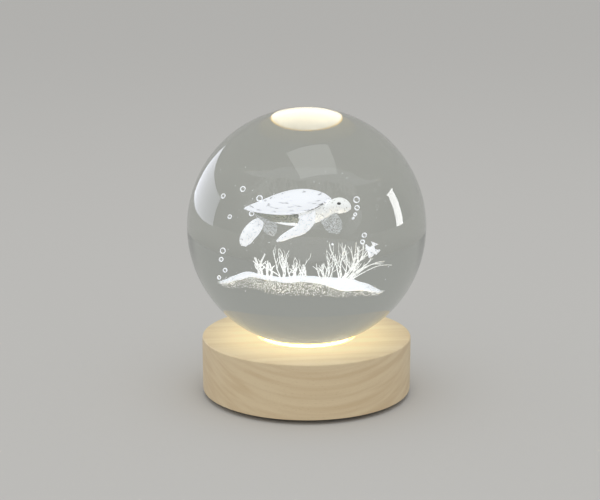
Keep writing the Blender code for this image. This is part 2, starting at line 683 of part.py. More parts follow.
def cut_reef(bm, flipper_tip):
    """Clumps of coral, a taller fan, long blades and one small fish, all rooted in the sand."""
    draw = random.Random(CORAL_SEED)
    for across, deep, height, spread, stems in CORAL_SHARES:
        foot = bed_point(across, deep, ROOT_SHARE)
        cut_clump(bm, foot, height * CORAL_HEIGHT, spread, stems, 1, 0, draw)
    fan_foot = bed_point(FAN_ROOT_SHARE, 0, ROOT_SHARE)
    cut_clump(bm, fan_foot, FAN_HEIGHT, 0.55, FAN_STEMS, 1, 0.45, draw)
    for number in range(GRASS_BLADES):
        way = Vector((1, (number - GRASS_BLADES / 2) * 0.2, 0.9 - 0.12 * number))
        foot = bed_point(FAN_ROOT_SHARE + 0.1, 0.25 * (number - 1.5), ROOT_SHARE)
        cut_twig(bm, foot, way, GRASS_LENGTH, TWIG_RADIUS * FORK_RADIUS_SHARE, draw, 0.06, TWIG_STEPS)
    tall_foot = bed_point(*TALL_TWIG_ROOT_SHARES, ROOT_SHARE)
    tall = flipper_tip - tall_foot
    cut_twig(bm, tall_foot, tall, tall.length, TWIG_RADIUS, draw, 0, TWIG_STEPS)
    half = (BED_LENGTH / 2, BED_DEPTH / 2, FAN_HEIGHT)
    fish_place = Vector(share * size for share, size in zip(FISH_PLACE_SHARES, half))
    fish_place.z -= BED_BELOW
    fish_stem = fish_place - fan_foot
    cut_twig(bm, fan_foot, fish_stem, fish_stem.length, TWIG_RADIUS, draw, 0, TWIG_STEPS)
    dive = Matrix.Translation(fish_place) @ Matrix.Rotation(math.radians(FISH_DIVE_DEGREES), 4, "Y")
    rings = [
        (dive @ Vector((x * FISH_LENGTH, 0, z)), tall * FISH_HEIGHT, thick * FISH_HEIGHT)
        for x, z, tall, thick in FISH_SHARES
    ]
    loft(bm, rings, Vector((0, 1, 0)), CUT_SIDES)


def build_engraving():
    """All that is cut in the ball, as one cutter, with a hair-fine vent that opens it downwards."""
    bm = bmesh.new()
    cut_turtle_body(bm)
    near_tip = cut_flipper(
        bm, FRONT_FLIPPER_ROOT_SHARES, FRONT_FLIPPER_LENGTH, FRONT_FLIPPER_WIDTH, FRONT_FLIPPER_SHARES
    )
    cut_flipper(
        bm, REAR_FLIPPER_ROOT_SHARES, REAR_FLIPPER_LENGTH, REAR_FLIPPER_WIDTH, REAR_FLIPPER_SHARES
    )
    for root_shares in (FAR_FRONT_ROOT_SHARES, FAR_REAR_ROOT_SHARES):
        cut_flipper(bm, root_shares, FAR_FLIPPER_LENGTH, REAR_FLIPPER_WIDTH, FAR_FLIPPER_SHARES)
    cut_sea_bed(bm)
    cut_reef(bm, near_tip)
    vent_top = bed_point(0, 0, ROOT_SHARE).z
    vent_length = vent_top + BALL_RADIUS + OVERRUN
    bmesh.ops.create_cone(
        bm, cap_ends=True, segments=CUT_SIDES, radius1=VENT_RADIUS, radius2=VENT_RADIUS, depth=vent_length,
        matrix=Matrix.Translation((0, 0, vent_top - vent_length / 2))
        @ Matrix.Rotation(math.pi / BALL_SEGMENTS, 4, "Z"),
    )
    bmesh.ops.recalc_face_normals(bm, faces=bm.faces)
    mesh = bpy.data.meshes.new("cut_engraving")
    bm.to_mesh(mesh)
    bm.free()
    return mesh


def build_ball():
    """The loose ball with its engraving, which lifts along one axis."""
    axis = add_empty("ball_lift_axis", (0, 0, BALL_CENTRE_Z))
    mesh = bpy.data.meshes.new("crystal_ball")
    bm = bmesh.new()
    bmesh.ops.create_uvsphere(
        bm, u_segments=BALL_SEGMENTS, v_segments=BALL_RINGS, radius=BALL_RADIUS
    )
    bm.to_mesh(mesh)
    bm.free()
    ball = add_object("crystal_ball", mesh, CRYSTAL, parent=axis)
    picture = add_object("cut_engraving", build_engraving(), parent=axis)
    combine(ball, picture, "DIFFERENCE")
    ball.modifiers[0].use_self = True
    finish(ball)


def base_outline():
    """The turned section of the base, down its outer side and back up through its hollows."""
    outer = arc((BASE_RADIUS - TOP_ROUND, WOOD_TOP_Z - TOP_ROUND), TOP_ROUND, 90, 0)
    outer += arc((BASE_RADIUS - BOTTOM_ROUND, WOOD_BOTTOM_Z + BOTTOM_ROUND), BOTTOM_ROUND, 0, -90)
    underside = [
        (REBATE_RADIUS, WOOD_BOTTOM_Z),
        (REBATE_RADIUS, COVER_SHELF_Z),
        (POCKET_RADIUS, COVER_SHELF_Z),
        (POCKET_RADIUS, CEILING_Z),
        (WELL_RADIUS, CEILING_Z),
        (WELL_RADIUS, WINDOW_SHELF_Z),
        (RECESS_RADIUS, WINDOW_SHELF_Z),
    ]
    seat = [(RECESS_RADIUS, SEAT_LOW_Z), (SEAT_TOP_RADIUS, WOOD_TOP_Z)]
    return outer + underside + seat


def build_wood_base():
    wood = turned("wood_base", base_outline(), LARGE_SEGMENTS, BEECH, closed=True)
    channel_start = BOARD_FRONT_Y - CLEARANCE
    channel = block(
        "cut_rear_channel",
        (2 * CHANNEL_HALF_WIDTH, CHANNEL_END_Y - channel_start, CHANNEL_TOP_Z - COVER_TOP_Z),
        location=(0, (CHANNEL_END_Y + channel_start) / 2, COVER_TOP_Z),
    )
    combine(wood, channel, "DIFFERENCE")
    mouth = extruded(
        "cut_socket_mouth",
        rounded_outline(MOUTH_WIDTH, MOUTH_HEIGHT, MOUTH_HEIGHT / 2, 2 * CORNER_STEPS),
        MOUTH_WALL + 2 * OVERRUN,
        location=(SOCKET_X, CHANNEL_END_Y - OVERRUN, SOCKET_Z),
        rotation=FACING_REAR,
    )
    combine(wood, mouth, "DIFFERENCE")
    button_hole = rod(
        "cut_button_hole",
        BUTTON_RADIUS + CLEARANCE,
        MOUTH_WALL + 2 * OVERRUN,
        MEDIUM_SEGMENTS,
        location=(SWITCH_X, CHANNEL_END_Y - OVERRUN, SWITCH_Z),
        rotation=FACING_REAR,
    )
    combine(wood, button_hole, "DIFFERENCE")
    for number, angle in enumerate(COVER_SCREW_ANGLES, 1):
        length = COVER_SCREW_LENGTH + COVER_SCREW_SUNK + CLEARANCE
        pilot = rod(
            f"cut_cover_pilot_{number}", COVER_SCREW_SHANK_RADIUS + CLEARANCE, length, SMALL_SEGMENTS,
            location=on_circle(COVER_SCREW_CIRCLE, angle, WOOD_BOTTOM_Z),
        )
        combine(wood, pilot, "DIFFERENCE")
    for number, angle in enumerate(BOARD_SCREW_ANGLES, 1):
        pilot = rod(
            f"cut_board_pilot_{number}", BOARD_SCREW_SHANK_RADIUS + CLEARANCE,
            BOARD_SCREW_LENGTH + CLEARANCE, SMALL_SEGMENTS,
            location=on_circle(LED_SCREW_CIRCLE, angle, BOARD_SCREW_Z),
        )
        combine(wood, pilot, "DIFFERENCE")
    finish(wood)


def build_light_window():
    outline = [
        (0, WINDOW_THICK),
        (WINDOW_RADIUS - WINDOW_CHAMFER, WINDOW_THICK),
        (WINDOW_RADIUS, WINDOW_THICK - WINDOW_CHAMFER),
        (WINDOW_RADIUS, WINDOW_CHAMFER),
        (WINDOW_RADIUS - WINDOW_CHAMFER, 0),
        (0, 0),
    ]
    finish(
        turned("light_window", outline, LARGE_SEGMENTS, ACRYLIC, location=(0, 0, WINDOW_BOTTOM_Z))
    )


def led_mesh():
    """One oblong LED package with a round phosphor well and a cut corner that marks its polarity."""
    package = block("led_package", (LED_WIDTH, LED_LENGTH, LED_HEIGHT), LED_PHOSPHOR)
    well = rod(
        "cut_led_face", LED_FACE_RADIUS, LED_FACE_DEPTH + OVERRUN, SMALL_SEGMENTS,
        location=(0, 0, LED_HEIGHT - LED_FACE_DEPTH),
    )
    corner = block(
        "cut_led_corner",
        (LED_CORNER_CUT, 2 * LED_CORNER_CUT, LED_HEIGHT + 2 * OVERRUN),
        location=(LED_WIDTH / 2, LED_LENGTH / 2, -OVERRUN),
        rotation=(0, 0, math.radians(45)),
    )
    combine(package, well, "DIFFERENCE")
    combine(package, corner, "DIFFERENCE")
    mesh = finish(package).data
    bpy.data.objects.remove(package, do_unlink=True)
    return mesh


def build_led_board():
    board = rod(
        "led_board", LED_BOARD_RADIUS, LED_BOARD_THICK, LARGE_SEGMENTS, WHITE_BOARD,
        location=(0, 0, LED_BOARD_BOTTOM_Z),
    )
    outline = screw_outline(
        BOARD_SCREW_HEAD_RADIUS, BOARD_SCREW_HEAD_HEIGHT, BOARD_SCREW_SHANK_RADIUS,
        BOARD_SCREW_LENGTH, sunk=False,
    )
    for number, angle in enumerate(BOARD_SCREW_ANGLES, 1):
        hole = rod(
            f"cut_board_hole_{number}", BOARD_SCREW_SHANK_RADIUS + CLEARANCE,
            LED_BOARD_THICK + 2 * OVERRUN, SMALL_SEGMENTS,
            location=on_circle(LED_SCREW_CIRCLE, angle, LED_BOARD_BOTTOM_Z - OVERRUN),
        )
        combine(board, hole, "DIFFERENCE")
        finish(
            turned(
                f"led_board_screw_{number}", outline, SMALL_SEGMENTS, STEEL,
                location=on_circle(LED_SCREW_CIRCLE, angle, BOARD_SCREW_Z),
            )
        )
    finish(board)
    mesh = led_mesh()
    for number, angle in enumerate(LED_ANGLES, 1):
        add_object(
            f"led_{number}", mesh, LED_PHOSPHOR,
            location=on_circle(LED_CIRCLE_RADIUS, angle, LED_BOTTOM_Z),
            rotation=(0, 0, math.radians(angle)),
        )


def build_bottom_cover():
    outline = [
        (0, COVER_THICK),
        (COVER_RADIUS, COVER_THICK),
        (COVER_RADIUS, COVER_CHAMFER),
        (COVER_RADIUS - COVER_CHAMFER, 0),
        (0, 0),
    ]
    cover = turned(
        "bottom_cover", outline, LARGE_SEGMENTS, BLACK_ABS, location=(0, 0, WOOD_BOTTOM_Z)
    )
    for side in (-1, 1):
        post = rod(
            f"join_post_{side}", POST_RADIUS, POST_HEIGHT + COVER_THICK / 2, MEDIUM_SEGMENTS,
            location=(side * POST_X, POST_Y, COVER_TOP_Z - COVER_THICK / 2),
        )
        combine(cover, post, "UNION")
        bore_depth = POST_SCREW_LENGTH - BOARD_SCREW_HEAD_HEIGHT - POWER_BOARD_THICK
        bore = rod(
            f"cut_post_bore_{side}", BOARD_SCREW_SHANK_RADIUS + CLEARANCE, bore_depth + OVERRUN,
            SMALL_SEGMENTS, location=(side * POST_X, POST_Y, POST_TOP_Z - bore_depth),
        )
        combine(cover, bore, "DIFFERENCE")
    head_radius = COVER_SCREW_HEAD_RADIUS + CLEARANCE
    hole_radius = COVER_SCREW_SHANK_RADIUS + CLEARANCE
    head_depth = COVER_SCREW_SUNK + COVER_SCREW_HEAD_HEIGHT + CLEARANCE
    sink = [
        (0, COVER_THICK + OVERRUN),
        (hole_radius, COVER_THICK + OVERRUN),
        (hole_radius, head_depth),
        (head_radius, COVER_SCREW_SUNK + COVER_SCREW_HEAD_HEIGHT / 4 + CLEARANCE),
        (head_radius, -OVERRUN),
        (0, -OVERRUN),
    ]
    for number, angle in enumerate(COVER_SCREW_ANGLES, 1):
        hole = turned(
            f"cut_cover_hole_{number}", sink, SMALL_SEGMENTS,
            location=on_circle(COVER_SCREW_CIRCLE, angle, WOOD_BOTTOM_Z),
        )
        combine(cover, hole, "DIFFERENCE")
    for number, angle in enumerate(FOOT_ANGLES, 1):
        recess = rod(
            f"cut_foot_recess_{number}", FOOT_RADIUS + CLEARANCE, FOOT_RECESS + OVERRUN,
            MEDIUM_SEGMENTS, location=on_circle(FOOT_CIRCLE, angle, WOOD_BOTTOM_Z - OVERRUN),
        )
        combine(cover, recess, "DIFFERENCE")
    finish(cover)


def build_cover_screws():
    outline = screw_outline(
        COVER_SCREW_HEAD_RADIUS, COVER_SCREW_HEAD_HEIGHT, COVER_SCREW_SHANK_RADIUS,
        COVER_SCREW_LENGTH, sunk=True,
    )
    for number, angle in enumerate(COVER_SCREW_ANGLES, 1):
        finish(
            turned(
                f"cover_screw_{number}", outline, SMALL_SEGMENTS, STEEL,
                location=on_circle(COVER_SCREW_CIRCLE, angle, WOOD_BOTTOM_Z + COVER_SCREW_SUNK),
            )
        )


def build_feet():
    height = FOOT_STAND_OFF + FOOT_RECESS - CLEARANCE
    outline = [
        (0, height),
        (FOOT_RADIUS, height),
        (FOOT_RADIUS - FOOT_TAPER, FOOT_EDGE),
        (FOOT_RADIUS - FOOT_TAPER - FOOT_EDGE, 0),
        (0, 0),
    ]
    for number, angle in enumerate(FOOT_ANGLES, 1):
        finish(
            turned(
                f"rubber_foot_{number}", outline, MEDIUM_SEGMENTS, RUBBER,
                location=on_circle(FOOT_CIRCLE, angle, 0),
            )
        )


def build_power_board():
    board = extruded(
        "power_board",
        rounded_outline(POWER_BOARD_WIDTH, POWER_BOARD_DEPTH, POWER_BOARD_CORNER),
        POWER_BOARD_THICK,
        GREEN_BOARD,
        location=(0, BOARD_MIDDLE_Y, POWER_BOARD_BOTTOM_Z),
    )
    notch_left = SWITCH_X - BUTTON_FLANGE_RADIUS - CLEARANCE
    notch_right = POWER_BOARD_WIDTH / 2 + OVERRUN
    notch_depth = BOARD_REAR_Y - SWITCH_REAR_Y + OVERRUN
    notch = block(
        "cut_button_notch",
        (notch_right - notch_left, notch_depth, POWER_BOARD_THICK + 2 * OVERRUN),
        location=(
            (notch_left + notch_right) / 2,
            SWITCH_REAR_Y + notch_depth / 2,
            POWER_BOARD_BOTTOM_Z - OVERRUN,
        ),
    )
    combine(board, notch, "DIFFERENCE")
    outline = screw_outline(
        BOARD_SCREW_HEAD_RADIUS, BOARD_SCREW_HEAD_HEIGHT, BOARD_SCREW_SHANK_RADIUS,
        POST_SCREW_LENGTH - CLEARANCE, sunk=False,
    )
    for number, side in enumerate((-1, 1), 1):
        hole = rod(
            f"cut_power_hole_{number}", BOARD_SCREW_SHANK_RADIUS + CLEARANCE,
            POWER_BOARD_THICK + 2 * OVERRUN, SMALL_SEGMENTS,
            location=(side * POST_X, POST_Y, POWER_BOARD_BOTTOM_Z - OVERRUN),
        )
        combine(board, hole, "DIFFERENCE")
        finish(
            turned(
                f"power_board_screw_{number}", outline, SMALL_SEGMENTS, STEEL,
                location=(side * POST_X, POST_Y, PART_SEAT_Z + BOARD_SCREW_HEAD_HEIGHT),
                rotation=POINTING_DOWN,
            )
        )
    finish(board)
    finish(
        block(
            "driver_chip", (CHIP_WIDTH, CHIP_DEPTH, CHIP_HEIGHT), BLACK_EPOXY, CHIP_CHAMFER,
            location=(SWITCH_X - CHIP_WIDTH / 2, DEVICE_ROW_Y, PART_SEAT_Z),
        )
    )
    for number in range(1, RESISTOR_COUNT + 1):
        block(
            f"resistor_{number}", (RESISTOR_WIDTH, RESISTOR_LENGTH, RESISTOR_HEIGHT), CERAMIC,
            location=(SOCKET_X + RESISTOR_PITCH * (number - (RESISTOR_COUNT + 1) / 2), DEVICE_ROW_Y, PART_SEAT_Z),
        )


def lead_route(start, end, bow, steps=12):
    """Points of a wire that leaves both boards square and bows sideways between them."""
    stub = Vector((0, 0, LEAD_RADIUS))
    reach = (end.z - start.z) * LEAD_REACH_SHARE
    first, last = start + stub, end - stub
    pull_out, pull_in = first + Vector((bow, 0, reach)), last + Vector((bow, 0, -reach))
    points = [start]
    for step in range(steps + 1):
        share = step / steps
        rest = 1 - share
        points.append(
            rest**3 * first + 3 * rest**2 * share * pull_out
            + 3 * rest * share**2 * pull_in + share**3 * last
        )
    return points + [end]


def build_leads():
    """Two short wires from the power board up to the LED board's underside."""
    for name, side, material in (("lead_red", -1, RED_PVC), ("lead_black", 1, BLACK_PVC)):
        x = side * LEAD_PITCH / 2
        start = Vector((x, POST_Y, PART_SEAT_Z))
        end = Vector((x, BOARD_FRONT_Y - LEAD_FROM_EDGE, LED_BOARD_BOTTOM_Z - CLEARANCE))
        route = lead_route(start, end, side * LEAD_BOW)
        curve = bpy.data.curves.new(name, "CURVE")
        curve.dimensions = "3D"
        curve.bevel_depth = LEAD_RADIUS
        curve.bevel_resolution = 2
        curve.use_fill_caps = True
        spline = curve.splines.new("POLY")
        spline.points.add(len(route) - 1)
        for point, place in zip(spline.points, route):
            point.co = (*place, 1)
        add_object(name, curve, material)


def build_power_socket():
    shell = extruded(
        "power_socket",
        rounded_outline(SOCKET_WIDTH, SOCKET_HEIGHT, SOCKET_HEIGHT / 2, 2 * CORNER_STEPS),
        SOCKET_DEPTH,
        STEEL,
        location=(SOCKET_X, SOCKET_REAR_Y - SOCKET_DEPTH, SOCKET_Z),
        rotation=FACING_REAR,
    )
    inner_height = SOCKET_HEIGHT - 2 * SOCKET_WALL
    hollow = extruded(
        "cut_socket_hollow",
        rounded_outline(
            SOCKET_WIDTH - 2 * SOCKET_WALL, inner_height, inner_height / 2, 2 * CORNER_STEPS
        ),
        SOCKET_DEPTH + OVERRUN,
        location=(SOCKET_X, SOCKET_REAR_Y - SOCKET_DEPTH + SOCKET_WALL, SOCKET_Z),
        rotation=FACING_REAR,
    )
    combine(shell, hollow, "DIFFERENCE")
    finish(shell)
    tongue_front = SOCKET_REAR_Y - SOCKET_DEPTH + SOCKET_WALL + CLEARANCE
    finish(
        block(
            "socket_tongue",
            (TONGUE_WIDTH, TONGUE_DEPTH, TONGUE_THICK),
            BLACK_ABS,
            TONGUE_THICK * TONGUE_CHAMFER_SHARE,
            location=(SOCKET_X, tongue_front + TONGUE_DEPTH / 2, SOCKET_Z - TONGUE_THICK / 2),
        )
    )


def build_push_switch():
    body = block(
        "switch_body",
        (SWITCH_WIDTH, SWITCH_DEPTH, SWITCH_HEIGHT),
        BLACK_ABS,
        SWITCH_EDGE,
        location=(SWITCH_X, SWITCH_REAR_Y - SWITCH_DEPTH / 2, PART_SEAT_Z),
    )
    bore_depth = PLUNGER_LENGTH + CLEARANCE
    bore = rod(
        "cut_plunger_bore", PLUNGER_RADIUS + CLEARANCE, bore_depth + OVERRUN, SMALL_SEGMENTS,
        location=(SWITCH_X, SWITCH_REAR_Y - bore_depth, SWITCH_Z), rotation=FACING_REAR,
    )
    combine(body, bore, "DIFFERENCE")
    finish(body)
    axis = add_empty("button_press_axis", (SWITCH_X, FLANGE_FRONT_Y, SWITCH_Z))
    finish(
        rod(
            "switch_plunger", PLUNGER_RADIUS, PLUNGER_LENGTH, SMALL_SEGMENTS, BLACK_ABS,
            location=(0, PLUNGER_REAR_Y - PLUNGER_LENGTH - FLANGE_FRONT_Y, 0),
            rotation=FACING_REAR, parent=axis,
        )
    )
    length = BUTTON_REAR_Y - FLANGE_FRONT_Y
    cap = arc((BUTTON_RADIUS - BUTTON_EDGE, length - BUTTON_EDGE), BUTTON_EDGE, 90, 0, 3)
    outline = [(0, length)] + cap + [
        (BUTTON_RADIUS, BUTTON_FLANGE_THICK),
        (BUTTON_FLANGE_RADIUS, BUTTON_FLANGE_THICK),
        (BUTTON_FLANGE_RADIUS, 0),
        (0, 0),
    ]
    finish(
        turned(
            "switch_button", outline, MEDIUM_SEGMENTS, BLACK_ABS, rotation=FACING_REAR, parent=axis
        )
    )


build_ball()
build_wood_base()
build_light_window()
build_led_board()
build_bottom_cover()
build_cover_screws()
build_feet()
build_power_board()
build_leads()
build_power_socket()
build_push_switch()
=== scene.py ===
"""Looks of a crystal ball lamp: a laser-engraved glass ball in the lit seat of a turned beech base.

Every size in this file is in millimetres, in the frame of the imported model, and is turned into metres when
a piece is placed. The engraving's sizes are measured from the middle of the ball.
"""

from __future__ import annotations

import logging
import math
import random
from collections.abc import Callable, Iterable, Iterator, Sequence
from dataclasses import dataclass, field
from enum import Enum

import bmesh
import bpy
from mathutils import Matrix, Vector, noise
from mathutils.geometry import area_tri


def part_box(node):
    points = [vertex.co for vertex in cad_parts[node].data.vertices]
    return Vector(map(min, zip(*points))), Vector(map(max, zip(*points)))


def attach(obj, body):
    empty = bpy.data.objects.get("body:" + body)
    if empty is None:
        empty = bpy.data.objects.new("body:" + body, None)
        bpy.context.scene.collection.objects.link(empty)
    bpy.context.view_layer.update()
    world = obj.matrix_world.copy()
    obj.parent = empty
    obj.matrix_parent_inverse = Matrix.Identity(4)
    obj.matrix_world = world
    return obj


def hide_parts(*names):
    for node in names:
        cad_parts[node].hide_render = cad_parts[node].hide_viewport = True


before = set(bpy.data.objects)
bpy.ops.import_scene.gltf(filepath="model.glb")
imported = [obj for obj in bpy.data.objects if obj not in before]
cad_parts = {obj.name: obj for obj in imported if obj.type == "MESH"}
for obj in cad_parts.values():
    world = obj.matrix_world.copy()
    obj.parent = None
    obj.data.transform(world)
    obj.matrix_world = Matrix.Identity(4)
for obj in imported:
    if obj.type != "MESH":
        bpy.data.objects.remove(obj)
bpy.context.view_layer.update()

MM = 0.001
LOG = logging.getLogger("crystal_ball_lamp")

FRONT = Vector((0, -1, 0))
UP = Vector((0, 0, 1))
RIGHT = Vector((1, 0, 0))

# How far corners may lie apart and still be merged, and the angle in degrees that still counts as flat
MERGE = 1e-3
FLAT = 0.5


class Body(Enum):
    """The bodies of the frame that a piece can ride on."""

    BASE = "base"
    BALL = "ball"
    BUTTON = "button"


class Slot(Enum):
    """The record's material slots, named along with some pieces of this file; nothing reads them."""

    CRYSTAL = "crystal"
    BEECH = "beech"
    ACRYLIC = "clear_acrylic"
    WHITE_BOARD = "white_board"
    PHOSPHOR = "led_phosphor"
    BLACK_PLASTIC = "black_plastic"
    STEEL = "steel"
    RUBBER = "rubber"


# Helpers for materials

# The Mix node's sockets for colours
SHARE, FIRST, SECOND, MIXED = 0, 6, 7, 2
COLOURS = {"data_type": "RGBA"}
SMOOTH = {"interpolation_type": "SMOOTHSTEP"}

# The range that nearly all noise lies in
NOISE_RANGE = (0.3, 0.7)


def linear(colour: str) -> tuple[float, float, float, float]:
    """Turns an sRGB hex colour into linear light.

    Args:
        colour: The colour as written in a paint program, such as "#E6CDA6".

    Returns:
        Red, green, blue and a full alpha.
    """
    shares = [int(colour[i : i + 2], 16) / 255 for i in (1, 3, 5)]
    red, green, blue = (s / 12.92 if s <= 0.04045 else ((s + 0.055) / 1.055) ** 2.4 for s in shares)
    return red, green, blue, 1.0


def add_node(
    tree: bpy.types.NodeTree,
    kind: str,
    inputs: dict[str | int, object] | Sequence[object] = (),
    output: str | int = 0,
    **settings: object,
) -> bpy.types.NodeSocket | None:
    """Adds one shader node with its settings, its values and its links.

    Args:
        tree: The material's or the world's node tree.
        kind: The node's type without "ShaderNode" before it, such as "TexNoise".
        inputs: Its inputs, in order or by name or number. A value is set and a socket is linked to.
        output: The name or number of the output that is wanted.
        settings: Attributes of the node.

    Returns:
        The output's socket, or None where the node has no output.
    """
    node = tree.nodes.new("ShaderNode" + kind)
    for name, value in settings.items():
        setattr(node, name, value)
    for key, value in inputs.items() if isinstance(inputs, dict) else enumerate(inputs):
        if isinstance(value, bpy.types.NodeSocket):
            tree.links.new(value, node.inputs[key])
        else:
            node.inputs[key].default_value = value
    return node.outputs[output] if node.outputs else None


def pattern_space(
    tree: bpy.types.NodeTree, cell: Sequence[float], turn: Sequence[float] = (0, 0, 0)
) -> bpy.types.NodeSocket:
    """Gives coordinates in which one unit is one cell of a pattern.

    Args:
        tree: The material's node tree.
        cell: The cell's length along X, Y and Z, in millimetres.
        turn: How the cells are turned about X, Y and Z, in degrees.

    Returns:
        The socket with the coordinates.
    """
    values = {
        "Vector": add_node(tree, "TexCoord", output="Object"),
        "Rotation": tuple(math.radians(t) for t in turn),
        "Scale": tuple(MM * c for c in cell),
    }
    return add_node(tree, "Mapping", values, vector_type="TEXTURE")


def soft_noise(
    tree: bpy.types.NodeTree,
    cell: Sequence[float],
    detail: float = 2.0,
    distortion: float = 0.0,
    turn: Sequence[float] = (0, 0, 0),
) -> bpy.types.NodeSocket:
    """Gives uneven values from 0 to 1, in cells of a size in millimetres.

    Args:
        tree: The material's node tree.
        cell: The cell's length along X, Y and Z.
        detail: How many finer layers are added.
        distortion: How much the cells are bent.
        turn: How the cells are turned about X, Y and Z, in degrees.

    Returns:
        The socket with the values.
    """
    space = pattern_space(tree, cell, turn)
    return add_node(
        tree, "TexNoise", {"Vector": space, "Scale": 1.0, "Detail": detail, "Distortion": distortion}
    )


@dataclass(frozen=True)
class Finish:
    """A plain surface: what it is made of, and how it was made smooth or rough."""

    name: str
    colour: str
    roughness: float
    metallic: float = 0.0
    ior: float = 1.5

    def material(self) -> bpy.types.Material:
        """Makes the material once, and gives the same one after that.

        Returns:
            The material.
        """
        found = bpy.data.materials.get(self.name)
        if found is not None:
            return found
        material = bpy.data.materials.new(self.name)
        material.use_nodes = True
        tree = material.node_tree
        tree.nodes.clear()
        add_node(tree, "OutputMaterial", {"Surface": self.surface(tree)})
        return material

    def principled(self, tree: bpy.types.NodeTree, **inputs: object) -> bpy.types.NodeSocket:
        """Adds this finish's own shader.

        Args:
            tree: The material's node tree.
            inputs: More of the shader's inputs, named with underscores for spaces.

        Returns:
            The shader's socket.
        """
        values = {
            "Base Color": linear(self.colour),
            "Roughness": self.roughness,
            "Metallic": self.metallic,
            "IOR": self.ior,
        }
        values.update({key.replace("_", " "): value for key, value in inputs.items()})
        return add_node(tree, "BsdfPrincipled", values)

    def surface(self, tree: bpy.types.NodeTree) -> bpy.types.NodeSocket:
        """Builds the nodes that the finish needs.

        Args:
            tree: The material's empty node tree.

        Returns:
            The shader socket for the material's output.
        """
        return self.principled(tree)


@dataclass(frozen=True)
class Moulded(Finish):
    """Moulded, pressed or plated material: an even colour, broken by slow mottling and a fine grain."""

    grain: float = 0.35
    grain_depth: float = 0.01
    grain_strength: float = 0.5
    mottle: float = 6.0
    mottle_detail: float = 3.0
    second: str = "#000000"
    second_share: float = 0.15
    smoother: float = 0.04
    rougher: float = 0.06

    def surface(self, tree: bpy.types.NodeTree) -> bpy.types.NodeSocket:
        """Adds slow mottling to the colour and roughness, and fine grain to the surface.

        Args:
            tree: The material's empty node tree.

        Returns:
            The shader socket for the material's output.
        """
        slow = soft_noise(tree, (self.mottle,) * 3, self.mottle_detail)
        fine = soft_noise(tree, (self.grain,) * 3)
        share = add_node(tree, "MapRange", [slow, *NOISE_RANGE, 0.0, self.second_share])
        colours = {SHARE: share, FIRST: linear(self.colour), SECOND: linear(self.second)}
        roughness = (self.roughness - self.smoother, self.roughness + self.rougher)
        bump = {"Strength": self.grain_strength, "Distance": self.grain_depth * MM, "Height": fine}
        return self.principled(
            tree,
            Base_Color=add_node(tree, "Mix", colours, MIXED, **COLOURS),
            Roughness=add_node(tree, "MapRange", [slow, *NOISE_RANGE, *roughness]),
            Normal=add_node(tree, "Bump", bump),
        )


